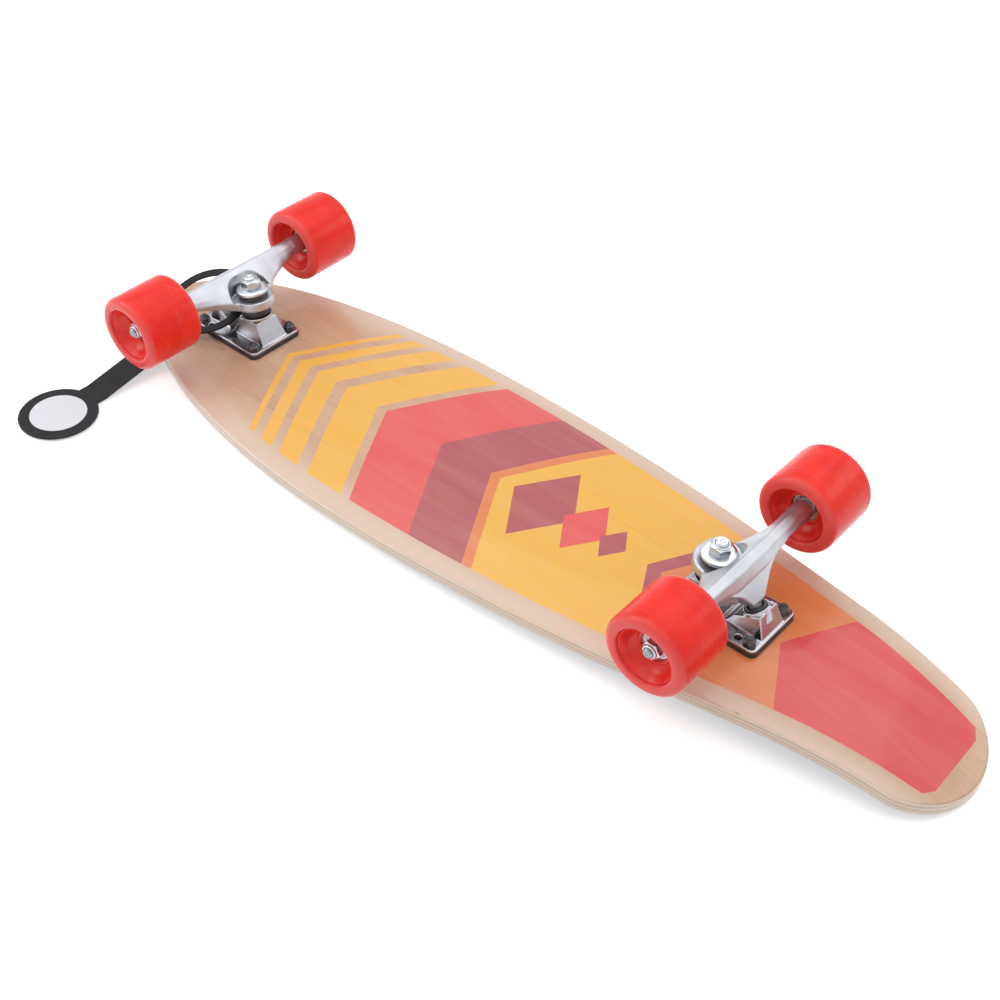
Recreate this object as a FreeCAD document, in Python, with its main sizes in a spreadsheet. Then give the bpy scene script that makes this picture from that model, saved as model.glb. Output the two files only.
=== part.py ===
import FreeCAD, Part
import math
import os
from types import SimpleNamespace

import Sketcher
from FreeCAD import Placement, Rotation, Vector

# A longboard lying wheels up. X runs from nose to tail, Y across the board, Z up from the
# riding face to the wheels. The origin is on the riding face, midway between the trucks.
# Lengths are in millimetres, angles in degrees.

SIZES = {
    # Deck, seen in plan: its ends are counted from the middles of the trucks
    "nose_overhang": 97.5,
    "tail_overhang": 201.5,
    "half_width": 109.6,
    "widest_forward": 57.0,
    "rail_radius": 1815.0,
    "rail_arc_lead": 12.5,
    "tail_corner_radius": 28.0,
    "tail_bluntness": 1.034,
    # Deck, pressed shape
    "deck_thickness": 11.0,
    "deck_edge_round": 2.6,
    "flat_half_width": 31.0,
    "concave_radius": 447.0,
    "kick_overhang": 71.5,
    "kick_radius": 351.0,
    "grip_thickness": 0.8,
    "grip_inset": 3.2,
    # Truck bolts
    "wheelbase": 511.0,
    "bolt_spacing_long": 63.5,
    "bolt_spacing_short": 53.98,
    "bolt_spacing_across": 41.28,
    "bolt_radius": 2.4,
    "bolt_hole_clearance": 0.35,
    "bolt_head_radius": 4.6,
    "bolt_head_depth": 2.6,
    "bolt_head_sink": 0.3,
    "bolt_proud": 1.4,
    "deck_nut_flats": 8.7,
    "deck_nut_height": 5.2,
    # Riser pad and baseplate
    "riser_thickness": 3.0,
    "riser_margin": 0.6,
    "plate_half_length": 39.2,
    "plate_half_width": 26.7,
    "plate_thickness": 3.0,
    "plate_corner_round": 5.0,
    "tower_foot_half_width": 14.2,
    "tower_plate_margin": 1.0,
    "tower_foot_inner": 4.0,
    "collar_proud": 2.1,
    "wedge_reach": 3.0,
    # Kingpin line
    "kingpin_seat_inward": 17.0,
    "kingpin_seat_height": 23.0,
    "kingpin_lean": 7.0,
    "kingpin_radius": 4.76,
    "kingpin_head_flats": 14.3,
    "kingpin_head_height": 5.6,
    "kingpin_web": 6.6,
    "kingpin_proud": 2.0,
    "kingpin_nut_height": 8.2,
    "seat_half_width": 10.6,
    "washer_thickness": 1.6,
    "washer_rim": 1.8,
    "washer_wall": 1.1,
    "lower_bushing_height": 10.5,
    "upper_bushing_height": 6.6,
    "lower_bushing_radius": 12.2,
    "upper_bushing_radius": 11.0,
    "bushing_waist": 1.4,
    "bushing_boss_height": 3.0,
    "bushing_bore_clearance": 0.2,
    # Pivot
    "pivot_outward": 23.5,
    "pivot_height": 15.0,
    "pivot_tilt": 28.0,
    "pivot_ball_radius": 6.0,
    "pivot_clearance": 0.1,
    "pivot_cup_wall": 2.0,
    "pivot_cup_mouth": 6.6,
    "pivot_cup_flange": 1.2,
    "pivot_cup_lip": 0.4,
    "pivot_collar_wall": 2.2,
    # Hanger and axle
    "axle_outward": 6.8,
    "axle_height": 52.0,
    "axle_radius": 3.97,
    "axle_clearance": 0.03,
    "axle_chamfer": 0.8,
    "axle_proud": 1.6,
    "hanger_half_length": 76.2,
    "hanger_end_radius": 8.0,
    "hanger_taper_end": 62.0,
    "yoke_thickness": 8.0,
    "yoke_radius": 17.0,
    "yoke_hole_radius": 9.6,
    "yoke_pocket_clearance": 1.6,
    "yoke_pocket_swing": 5.0,
    "web_start": 10.0,
    "web_end": 38.0,
    "web_start_half_width": 6.6,
    "web_start_half_depth": 5.6,
    "web_middle_half_width": 17.5,
    "web_middle_half_depth": 7.0,
    "web_end_half_width": 38.0,
    "web_end_half_depth": 6.6,
    "pivot_neck_radius": 4.9,
    # Wheel
    "wheel_radius": 32.0,
    "wheel_width": 53.0,
    "wheel_lip_round": 5.0,
    "recess_radius": 23.6,
    "recess_edge_round": 1.2,
    "core_radius": 22.0,
    "core_width": 27.0,
    "dish_inset": 1.9,
    "core_shoulder_radius": 8.6,
    "core_rim_height": 1.0,
    "core_rim_wall": 2.2,
    # Bearings
    "bearing_radius": 11.0,
    "bearing_bore_radius": 4.0,
    "bearing_width": 7.0,
    "outer_race_wall": 1.7,
    "inner_race_wall": 2.2,
    "ball_radius": 1.95,
    "ball_count": 7,
    "ball_clearance": 0.05,
    "shield_thickness": 0.3,
    "shield_gap": 0.25,
    "spacer_length": 10.0,
    "spacer_wall": 1.1,
    "axle_washer_thickness": 0.8,
    "axle_washer_radius": 6.0,
    "axle_nut_flats": 12.7,
    "axle_nut_height": 5.2,
    "axle_nut_collar": 1.9,
    "axle_nut_collar_radius": 5.7,
    # Hang tag
    "tag_thickness": 1.6,
    "tag_loop_outward": 40.5,
    "tag_loop_aside": 7.2,
    "tag_loop_height": 15.6,
    "tag_loop_slope": 0.26,
    "tag_loop_radius": 38.1,
    "tag_loop_band": 7.2,
    "tag_strap_width": 25.0,
    "tag_disc_aside": 173.5,
    "tag_disc_radius": 32.8,
    "tag_disc_drop": 13.0,
    "tag_rail_gap": 0.35,
    "label_radius": 23.5,
    "label_thickness": 0.4,
}


class Length:
    """A number together with the sheet formula that it comes from."""

    def __init__(self, value, formula):
        self.value = value
        self.formula = formula

    def joined(self, sign, other, value):
        text = other.formula if isinstance(other, Length) else repr(other)
        return Length(value, f"({self.formula} {sign} {text})")

    def __add__(self, other):
        return self.joined("+", other, self.value + float(other))

    def __sub__(self, other):
        return self.joined("-", other, self.value - float(other))

    def __mul__(self, other):
        return self.joined("*", other, self.value * float(other))

    def __truediv__(self, other):
        return self.joined("/", other, self.value / float(other))

    def __neg__(self):
        return Length(-self.value, f"(0 - {self.formula})")

    def __float__(self):
        return float(self.value)


doc = FreeCAD.newDocument("Longboard")
sheet = doc.addObject("Spreadsheet::Sheet", "Sizes")
for row, (alias, value) in enumerate(SIZES.items(), start=1):
    sheet.set(f"A{row}", alias)
    sheet.set(f"B{row}", str(value))
    sheet.setAlias(f"B{row}", alias)
doc.recompute()
size = SimpleNamespace(**{alias: Length(value, f"Sizes.{alias}") for alias, value in SIZES.items()})
mm = SimpleNamespace(**{alias: float(getattr(sheet, alias)) for alias in SIZES})
for alias, length in (("nose_reach", size.wheelbase / 2 + size.nose_overhang),
                      ("tail_reach", size.wheelbase / 2 + size.tail_overhang),
                      ("kick_start", size.wheelbase / 2 + size.kick_overhang),
                      ("rail_arc_end", size.wheelbase / 2 - size.rail_arc_lead)):
    setattr(size, alias, length)
    setattr(mm, alias, float(length))
NOTHING = Length(0.0, "0")
nodes = []

X_AXIS = Vector(1, 0, 0)
Y_AXIS = Vector(0, 1, 0)
Z_AXIS = Vector(0, 0, 1)
deck_top = mm.grip_thickness + mm.deck_thickness


# Building blocks

def bind(thing, name, length):
    """Set a property, and link it to the sheet where it has a formula."""
    if isinstance(length, Length):
        thing.setExpression(name, length.formula)
    else:
        setattr(thing, name, length)


def at(x=0.0, y=0.0, z=0.0, axis=Z_AXIS, angle=0.0):
    return Placement(Vector(x, y, z), Rotation(axis, angle))


def keep(thing, placement=None):
    """Count an object as a sub-part of the board."""
    if placement is not None:
        thing.Placement = placement
    nodes.append(thing)
    return thing


def origin_plane(body, role):
    return next(item for item in body.Origin.OriginFeatures if item.Role == role)


def draw_corners(sketch, corners):
    """Close a chain of lines through corners, each a pair of lengths."""
    points = [Vector(float(across), float(up), 0) for across, up in corners]
    count = len(points)
    for index in range(count):
        sketch.addGeometry(Part.LineSegment(points[index], points[(index + 1) % count]))
    for index in range(count):
        sketch.addConstraint(Sketcher.Constraint("Coincident", index, 2, (index + 1) % count, 1))
    for index, corner in enumerate(corners):
        for kind, length in zip(("DistanceX", "DistanceY"), corner):
            number = sketch.addConstraint(Sketcher.Constraint(kind, -1, 1, index, 1, float(length)))
            name = f"{kind}_{index}"
            sketch.renameConstraint(number, name)
            bind(sketch, f"Constraints.{name}", length)


def circular_edges(shape, wanted):
    """Names of the circles of a turned piece at the wanted pairs of radius and height."""
    names = []
    for number, edge in enumerate(shape.Edges, start=1):
        if not isinstance(edge.Curve, Part.Circle):
            continue
        for radius, height in wanted:
            same_radius = abs(edge.Curve.Radius - float(radius)) < 0.001
            if same_radius and abs(edge.Curve.Center.z - float(height)) < 0.001:
                names.append(f"Edge{number}")
    return sorted(set(names))


def turned(name, corners, rounds=()):
    """A body turned about Z from a profile of pairs of radius and height."""
    body = doc.addObject("PartDesign::Body", name)
    sketch = body.newObject("Sketcher::SketchObject", f"{name}_profile")
    sketch.AttachmentSupport = (origin_plane(body, "XZ_Plane"), [""])
    sketch.MapMode = "FlatFace"
    draw_corners(sketch, [(as_length(radius), as_length(height)) for radius, height in corners])
    feature = body.newObject("PartDesign::Revolution", f"{name}_turned")
    feature.Profile = sketch
    feature.ReferenceAxis = (sketch, ["V_Axis"])
    feature.Angle = 360
    for number, (radius, wanted) in enumerate(rounds):
        doc.recompute()
        fillet = body.newObject("PartDesign::Fillet", f"{name}_round_{number}")
        fillet.Base = (feature, circular_edges(feature.Shape, wanted))
        bind(fillet, "Radius", radius)
        feature = fillet
    body.Tip = feature
    return body


def as_length(value):
    return value if isinstance(value, Length) else Length(float(value), repr(float(value)))


def primitive(kind, name, placement=None, **lengths):
    thing = doc.addObject(f"Part::{kind}", name)
    for key, length in lengths.items():
        bind(thing, key, length)
    if placement is not None:
        thing.Placement = placement
    return thing


def fused(name, pieces):
    thing = doc.addObject("Part::MultiFuse", name)
    thing.Shapes = pieces
    thing.Refine = True
    return thing


def cut(name, base, tools):
    thing = doc.addObject("Part::Cut", name)
    thing.Base = base
    thing.Tool = tools[0] if len(tools) == 1 else fused(f"{name}_tools", tools)
    return thing


def common(name, first, second):
    thing = doc.addObject("Part::Common", name)
    thing.Base = first
    thing.Tool = second
    return thing


def group(name, pieces):
    thing = doc.addObject("Part::Compound", name)
    thing.Links = pieces
    return thing


def formed(name, shape):
    thing = doc.addObject("Part::Feature", name)
    thing.Shape = shape
    return thing


def extruded(name, base, direction, length):
    thing = doc.addObject("Part::Extrusion", name)
    thing.Base = base
    thing.DirMode = "Custom"
    thing.Dir = direction
    bind(thing, "LengthFwd", length)
    thing.Solid = True
    return thing


def hexagon(name, flats, height, placement=None):
    """A hexagonal prism, given the distance across its flats."""
    return primitive("Prism", name, placement, Polygon=6,
                     Circumradius=flats / math.sqrt(3), Height=height)


def ring(name, outer, bore, height, placement=None):
    """A tube standing on Z."""
    thing = cut(name, primitive("Cylinder", f"{name}_outside", Radius=outer, Height=height),
                [primitive("Cylinder", f"{name}_bore", Radius=bore, Height=height)])
    if placement is not None:
        thing.Placement = placement
    return thing


def polygon_face(points):
    corners = [Vector(*point) for point in points]
    return Part.Face(Part.makePolygon(corners + corners[:1]))


# Places on the board

def truck_place(end):
    """Frame of a truck: its X points to the end of the board and Z up from the deck's underside."""
    sign = 1 if end == "rear" else -1
    return at(sign * mm.wheelbase / 2, 0, deck_top, Z_AXIS, 0 if sign > 0 else 180)


def bolt_points(spacing_ends):
    """Places of bolts in a truck's frame at the given distances along it."""
    across = mm.bolt_spacing_across / 2
    return [(along, side * across) for along in spacing_ends for side in (1, -1)]


used_holes = bolt_points((mm.bolt_spacing_long / 2, -mm.bolt_spacing_long / 2))
spare_holes = bolt_points((mm.bolt_spacing_short - mm.bolt_spacing_long / 2,))
kingpin_place = at(-mm.kingpin_seat_inward, 0, mm.kingpin_seat_height, Y_AXIS, mm.kingpin_lean)
pivot_place = at(mm.pivot_outward, 0, mm.pivot_height, Y_AXIS, -mm.pivot_tilt)
axle_place = at(mm.axle_outward, 0, mm.axle_height, X_AXIS, -90)
half_stack = size.spacer_length / 2 + size.bearing_width
wheel_offset = size.hanger_half_length + size.axle_washer_thickness + half_stack

# Heights along the kingpin, from the seat on the baseplate's tower
lower_bushing_foot = size.washer_thickness
yoke_foot = lower_bushing_foot + size.lower_bushing_height
yoke_top = yoke_foot + size.yoke_thickness
upper_washer_foot = yoke_top + size.upper_bushing_height
kingpin_nut_foot = upper_washer_foot + size.washer_thickness
kingpin_end = kingpin_nut_foot + size.kingpin_nut_height + size.kingpin_proud


# Deck and grip tape

trim_margin = size.half_width / 10


def deck_outline(inset):
    """Plan of the deck as a face, drawn in by an inset: oval nose, long rails and a blunt tail."""
    widest = -mm.widest_forward
    nose_length = mm.nose_reach - mm.widest_forward - inset
    nose = Part.Ellipse(Vector(widest, 0, 0), nose_length, mm.half_width - inset)
    rail_centre = Vector(widest, mm.half_width - mm.rail_radius, 0)
    sweep = math.asin((mm.rail_arc_end - widest) / mm.rail_radius)
    outward = Vector(math.sin(sweep), math.cos(sweep), 0)
    along = Vector(math.cos(sweep), -math.sin(sweep), 0)
    halfway = Vector(math.sin(sweep / 2), math.cos(sweep / 2), 0)
    rail = mm.rail_radius - inset
    rail_end_half_width = (rail_centre + outward * mm.rail_radius).y
    narrowed = math.cos(sweep) * rail_end_half_width - math.sin(sweep) * (mm.tail_reach - mm.rail_arc_end)
    tail_radius = narrowed / (1 / mm.tail_bluntness - math.sin(sweep))
    end_centre = Vector(mm.tail_reach - tail_radius, 0, 0)
    reach = rail_centre + outward * (mm.rail_radius - mm.tail_corner_radius) - end_centre
    ahead = reach.dot(along)
    between = tail_radius - mm.tail_corner_radius
    beyond = math.sqrt(ahead ** 2 - reach.dot(reach) + between ** 2) - ahead
    corner_centre = end_centre + reach + along * beyond
    corner = mm.tail_corner_radius - inset
    to_corner = (corner_centre - end_centre).normalize()
    middle = (outward + to_corner).normalize()
    rail_start = rail_centre + Vector(0, rail, 0)
    rail_middle = rail_centre + halfway * rail
    rail_end = rail_centre + outward * rail
    corner_start = corner_centre + outward * corner
    corner_middle = corner_centre + middle * corner
    corner_end = corner_centre + to_corner * corner
    tail = end_centre + Vector(tail_radius - inset, 0, 0)

    def far(point):
        return Vector(point.x, -point.y, 0)

    curves = [
        Part.ArcOfEllipse(nose, math.pi / 2, 3 * math.pi / 2),
        Part.Arc(far(rail_start), far(rail_middle), far(rail_end)),
        Part.LineSegment(far(rail_end), far(corner_start)),
        Part.Arc(far(corner_start), far(corner_middle), far(corner_end)),
        Part.Arc(far(corner_end), tail, corner_end),
        Part.Arc(corner_end, corner_middle, corner_start),
        Part.LineSegment(corner_start, rail_end),
        Part.Arc(rail_end, rail_middle, rail_start),
    ]
    return Part.Face(Part.Wire([curve.toShape() for curve in curves]))


def pressed_section(low, high):
    """Section across the deck between two heights over the riding face: flat middle, concave rails."""
    sweep = math.asin((mm.half_width + float(trim_margin) - mm.flat_half_width) / mm.concave_radius)

    def rail(side, height, angle):
        radius = mm.concave_radius + height
        across = mm.flat_half_width + radius * math.sin(angle)
        return Vector(mm.kick_start, side * across, radius * math.cos(angle) - mm.concave_radius)

    def rail_arc(side, height):
        return Part.Arc(rail(side, height, 0), rail(side, height, sweep / 2), rail(side, height, sweep))

    curves = []
    for height in (low, high):
        curves.append(Part.LineSegment(rail(-1, height, 0), rail(1, height, 0)))
        curves += [rail_arc(side, height) for side in (1, -1)]
    curves += [Part.LineSegment(rail(side, low, sweep), rail(side, high, sweep)) for side in (1, -1)]
    return Part.Face(Part.Wire(Part.__sortEdges__([curve.toShape() for curve in curves])))


def pressed_sheet(name, low, high, inset):
    """A sheet pressed to the deck's concave and kicktail and trimmed to its outline."""
    section = formed(f"{name}_section", pressed_section(low, high))
    flat = extruded(f"{name}_flat", section, -X_AXIS, size.kick_start + size.nose_reach + trim_margin)
    kick = doc.addObject("Part::Revolution", f"{name}_kick")
    kick.Source = section
    kick.Axis = Y_AXIS
    kick.Base = Vector(mm.kick_start, 0, -mm.kick_radius)
    kick_length = mm.tail_reach + float(trim_margin) - mm.kick_start
    kick.Angle = math.degrees(math.asin(kick_length / mm.kick_radius))
    kick.Solid = True
    pressed = fused(f"{name}_pressed", [flat, kick])
    outline = formed(f"{name}_outline", deck_outline(inset))
    outline.Placement = at(z=-mm.kick_radius)
    trim = extruded(f"{name}_trim", outline, Z_AXIS, size.kick_radius * 2)
    return common(f"{name}_blank", pressed, trim)


def rim_edges(shape):
    """Numbers of the edges where the outline's wall meets the top and the bottom of a sheet."""
    def is_wall(face):
        low_u, high_u, low_v, high_v = face.ParameterRange
        return abs(face.normalAt((low_u + high_u) / 2, (low_v + high_v) / 2).z) < 0.2

    numbers = []
    for number, edge in enumerate(shape.Edges, start=1):
        faces = shape.ancestorsOfType(edge, Part.Face)
        if sum(is_wall(face) for face in faces) == 1:
            numbers.append(number)
    return numbers


def bolt_holes(name, radius, foot, height):
    """Cylinders at every deck bolt."""
    holes = []
    for end in ("front", "rear"):
        for number, (along, across) in enumerate(used_holes):
            place = truck_place(end).multiply(at(along, across, foot - deck_top))
            holes.append(primitive("Cylinder", f"{name}_{end}_{number}", place, Radius=radius, Height=height))
    return holes


def head_sinks(name, foot):
    """Cones at every deck bolt, for the countersunk heads."""
    sinks = []
    for end in ("front", "rear"):
        for number, (along, across) in enumerate(used_holes):
            place = truck_place(end).multiply(at(along, across, foot - deck_top))
            sinks.append(primitive("Cone", f"{name}_{end}_{number}", place,
                                   Radius1=size.bolt_head_radius + size.bolt_hole_clearance,
                                   Radius2=size.bolt_radius + size.bolt_hole_clearance,
                                   Height=size.bolt_head_depth))
    return sinks


def make_deck():
    blank = pressed_sheet("deck", mm.grip_thickness, deck_top, 0.0)
    doc.recompute()
    rounded = doc.addObject("Part::Fillet", "deck_rounded")
    rounded.Base = blank
    rounded.Edges = [(number, mm.deck_edge_round, mm.deck_edge_round) for number in rim_edges(blank.Shape)]
    hole = size.bolt_radius + size.bolt_hole_clearance
    tools = bolt_holes("deck_hole", hole, 0.0, size.grip_thickness + size.deck_thickness * 2)
    tools += head_sinks("deck_sink", mm.grip_thickness)
    keep(cut("deck", rounded, tools))


def make_grip_tape():
    blank = pressed_sheet("grip", 0.0, mm.grip_thickness, mm.grip_inset)
    hole = size.bolt_head_radius + size.bolt_hole_clearance
    keep(cut("grip_tape", blank, bolt_holes("grip_hole", hole, -mm.grip_thickness, size.grip_thickness * 3)))


def make_deck_bolts():
    """Countersunk bolts up through the deck, riser and baseplate, with lock nuts on top."""
    nut_foot = size.riser_thickness + size.plate_thickness
    end_height = nut_foot + size.deck_nut_height + size.bolt_proud + size.grip_thickness + size.deck_thickness
    head_foot = size.bolt_head_sink
    cone_foot = size.grip_thickness
    profile = [
        (NOTHING, head_foot), (size.bolt_head_radius, head_foot), (size.bolt_head_radius, cone_foot),
        (size.bolt_radius, cone_foot + size.bolt_head_depth), (size.bolt_radius, end_height),
        (NOTHING, end_height),
    ]
    bolts = []
    nuts = []
    for end in ("front", "rear"):
        for number, (along, across) in enumerate(used_holes):
            place = truck_place(end).multiply(at(along, across, -deck_top))
            bolt = turned(f"deck_bolt_{end}_{number}", profile)
            bolt.Placement = place
            bolts.append(bolt)
            nut_place = truck_place(end).multiply(at(along, across, float(nut_foot)))
            nut = cut(f"deck_nut_{end}_{number}",
                      hexagon(f"deck_nut_hex_{end}_{number}", size.deck_nut_flats, size.deck_nut_height),
                      [primitive("Cylinder", f"deck_nut_bore_{end}_{number}",
                                 Radius=size.bolt_radius, Height=size.deck_nut_height)])
            nut.Placement = nut_place
            nuts.append(nut)
    keep(group("deck_bolts", bolts))
    keep(group("deck_nuts", nuts))


# Truck

def rounded_slab(name, half_length, half_width, height, corner):
    """A flat slab centred on Z, with its four upright edges rounded."""
    slab = primitive("Box", f"{name}_slab", at(-float(half_length), -float(half_width)),
                     Length=half_length * 2, Width=half_width * 2, Height=height)
    doc.recompute()
    upright = [number for number, edge in enumerate(slab.Shape.Edges, start=1)
               if abs(edge.tangentAt(edge.FirstParameter).z) > 0.9]
    rounded = doc.addObject("Part::Fillet", f"{name}_rounded")
    rounded.Base = slab
    rounded.Edges = [(number, float(corner), float(corner)) for number in upright]
    return rounded


def upright_holes(name, points, radius, foot, height):
    return [primitive("Cylinder", f"{name}_{number}", at(along, across, float(foot)),
                      Radius=radius, Height=height)
            for number, (along, across) in enumerate(points)]


def make_riser(end):
    name = f"{end}_riser_pad"
    slab = rounded_slab(name, size.plate_half_length + size.riser_margin,
                        size.plate_half_width + size.riser_margin,
                        size.riser_thickness, size.plate_corner_round + size.riser_margin)
    hole = size.bolt_radius + size.bolt_hole_clearance
    holes = upright_holes(f"{name}_hole", used_holes + spare_holes, hole, NOTHING, size.riser_thickness)
    keep(cut(name, slab, holes), truck_place(end))


def rectangle(place, low, high, half_width, height):
    ends = ((low, -half_width), (high, -half_width), (high, half_width), (low, half_width))
    corners = [place.multVec(Vector(along, across, height)) for along, across in ends]
    return Part.makePolygon(corners + corners[:1])


def tower(name, foot_low, foot_high, place, top_low, top_high, top_half_width, top_height):
    """A faceted block that narrows from its foot on the riser to a slanted top."""
    foot = rectangle(at(), foot_low, foot_high, mm.tower_foot_half_width, mm.riser_thickness)
    top = rectangle(place, top_low, top_high, top_half_width, top_height)
    return formed(name, Part.makeLoft([foot, top], True, True))


def make_baseplate(end):
    """Cast plate with a tower under the bushings and a wedge round the pivot cup."""
    name = f"{end}_baseplate"
    plate = rounded_slab(name, size.plate_half_length, size.plate_half_width,
                         size.plate_thickness, size.plate_corner_round)
    plate.Placement = at(z=mm.riser_thickness)
    cup_radius = size.pivot_ball_radius + size.pivot_clearance + size.pivot_cup_wall
    collar_radius = cup_radius + size.pivot_collar_wall
    collar_foot = -size.pivot_ball_radius
    collar_top = size.pivot_cup_mouth - size.pivot_cup_flange
    foot_end = mm.plate_half_length - mm.tower_plate_margin
    seat = mm.seat_half_width
    kingpin_tower = tower(f"{name}_kingpin_tower", -foot_end, mm.tower_foot_inner, kingpin_place,
                          -seat, seat, seat, 0)
    collar = float(collar_radius)
    pivot_tower = tower(f"{name}_pivot_tower", mm.tower_foot_inner, foot_end, pivot_place,
                        -collar - mm.wedge_reach, collar, collar, float(collar_top - size.collar_proud))
    pivot_collar = primitive("Cylinder", f"{name}_collar", pivot_place.multiply(at(z=float(collar_foot))),
                             Radius=collar_radius, Height=collar_top - collar_foot)
    casting = fused(f"{name}_casting", [plate, kingpin_tower, pivot_tower, pivot_collar])
    hole = size.bolt_radius + size.bolt_hole_clearance
    tools = upright_holes(f"{name}_hole", used_holes + spare_holes, hole,
                          size.riser_thickness, size.plate_thickness)
    bore = size.kingpin_radius + size.bushing_bore_clearance
    tools.append(primitive("Cylinder", f"{name}_kingpin_bore",
                           kingpin_place.multiply(at(z=-mm.kingpin_seat_height)),
                           Radius=bore, Height=size.kingpin_seat_height * 2))
    head_room = size.kingpin_head_flats / math.sqrt(3) + size.bolt_hole_clearance
    tools.append(primitive("Cylinder", f"{name}_head_room",
                           kingpin_place.multiply(at(z=-mm.kingpin_web - mm.kingpin_seat_height)),
                           Radius=head_room, Height=size.kingpin_seat_height))
    tools.append(primitive("Sphere", f"{name}_cup_floor", pivot_place, Radius=cup_radius))
    tools.append(primitive("Cylinder", f"{name}_cup_bore", pivot_place,
                           Radius=cup_radius, Height=size.pivot_height))
    keep(cut(name, casting, tools), truck_place(end))


def make_kingpin(end):
    name = f"{end}_kingpin"
    head_foot = -(size.kingpin_web + size.kingpin_head_height)
    shank = primitive("Cylinder", f"{name}_shank", at(z=-mm.kingpin_web),
                      Radius=size.kingpin_radius, Height=size.kingpin_web + kingpin_end)
    head = hexagon(f"{name}_head", size.kingpin_head_flats, size.kingpin_head_height, at(z=float(head_foot)))
    keep(fused(name, [shank, head]), truck_place(end).multiply(kingpin_place))
    nut_name = f"{end}_kingpin_nut"
    body = hexagon(f"{nut_name}_hex", size.kingpin_head_flats, size.kingpin_nut_height)
    bore = primitive("Cylinder", f"{nut_name}_bore",
                     Radius=size.kingpin_radius, Height=size.kingpin_nut_height)
    keep(cut(nut_name, body, [bore]),
         truck_place(end).multiply(kingpin_place).multiply(at(z=float(kingpin_nut_foot))))


def make_bushings(end):
    """Two soft bushings with the yoke between them, each held in a cup washer."""
    bore = size.kingpin_radius + size.bushing_bore_clearance
    boss = size.yoke_hole_radius - size.bushing_bore_clearance
    waist = size.lower_bushing_radius - size.bushing_waist
    top = size.lower_bushing_height
    lower = [
        (bore, NOTHING), (waist, NOTHING), (size.lower_bushing_radius, top / 2), (waist, top), (boss, top),
        (boss, top + size.bushing_boss_height), (bore, top + size.bushing_boss_height),
    ]
    line = truck_place(end).multiply(kingpin_place)
    keep(turned(f"{end}_lower_bushing", lower), line.multiply(at(z=float(lower_bushing_foot))))
    top = size.upper_bushing_height
    upper = [
        (bore, -size.bushing_boss_height), (boss, -size.bushing_boss_height), (boss, NOTHING),
        (size.upper_bushing_radius + size.bushing_waist, NOTHING), (size.upper_bushing_radius, top),
        (bore, top),
    ]
    keep(turned(f"{end}_upper_bushing", upper), line.multiply(at(z=float(yoke_top))))
    washers = []
    for position, radius, foot, rim in (
            ("lower", waist, NOTHING, size.washer_thickness + size.washer_rim),
            ("upper", size.upper_bushing_radius, upper_washer_foot, -size.washer_rim)):
        inside = radius + size.bushing_waist
        outside = inside + size.washer_wall
        face = size.washer_thickness if position == "lower" else NOTHING
        back = NOTHING if position == "lower" else size.washer_thickness
        profile = [(bore, back), (outside, back), (outside, rim), (inside, rim), (inside, face), (bore, face)]
        washer = turned(f"{end}_{position}_cup_washer", profile)
        washer.Placement = line.multiply(at(z=float(foot)))
        washers.append(washer)
    keep(group(f"{end}_cup_washers", washers))


def make_pivot_cup(end):
    """Soft cup with a round floor, in which the hanger's ball turns."""
    name = f"{end}_pivot_cup"
    inside = size.pivot_ball_radius + size.pivot_clearance
    outside = inside + size.pivot_cup_wall
    flange_foot = size.pivot_cup_mouth - size.pivot_cup_flange
    solid = fused(f"{name}_outside", [
        primitive("Sphere", f"{name}_floor", Radius=outside),
        primitive("Cylinder", f"{name}_wall", Radius=outside, Height=size.pivot_cup_mouth),
        primitive("Cylinder", f"{name}_flange", at(z=float(flange_foot)),
                  Radius=outside + size.pivot_cup_lip, Height=size.pivot_cup_flange)])
    tools = [primitive("Sphere", f"{name}_seat", Radius=inside),
             primitive("Cylinder", f"{name}_bore", Radius=inside, Height=size.pivot_cup_mouth * 2),
             primitive("Cylinder", f"{name}_top", at(z=mm.pivot_cup_mouth), Radius=outside, Height=outside)]
    keep(cut(name, solid, tools), truck_place(end).multiply(pivot_place))


# Corners of the beam's sections as offsets from the axle along the truck and up, round from the
# ridge: where the beam is slim near a wheel, and where it widens towards the yoke
SLIM_SECTION = [(0, 8), (-4.8, 4.4), (-7.8, 0.6), (-9.4, -3.6), (-8, -7.4),
                (-2.8, -9.5), (2.2, -9), (5.8, -6), (7.2, -1), (5.8, 5.4)]
WIDE_SECTION = [(0, 8), (-5.4, 3.2), (-10.4, -1.4), (-14.6, -6), (-12.8, -12),
                (-3.8, -16), (3.2, -15), (6.7, -11), (7.4, -3), (6, 5)]
# The middle section in two runs, between which the two corners on the yoke's faces come
MIDDLE_RIDGE = [(0, 8), (-6.9, 3.1), (-13.8, -1.8)]
MIDDLE_UNDERSIDE = [(-7, -18.2), (5.2, -24), (9.2, -20), (9.2, -6), (6.7, 5)]
# Places of the slim and wide sections, as shares of the length where the beam becomes round
SLIM_SHARE = 0.77
WIDE_SHARE = 0.52


def hanger_section(y, offsets):
    corners = [Vector(mm.axle_outward + along, y, mm.axle_height + up) for along, up in offsets]
    return Part.makePolygon(corners + corners[:1])


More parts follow.
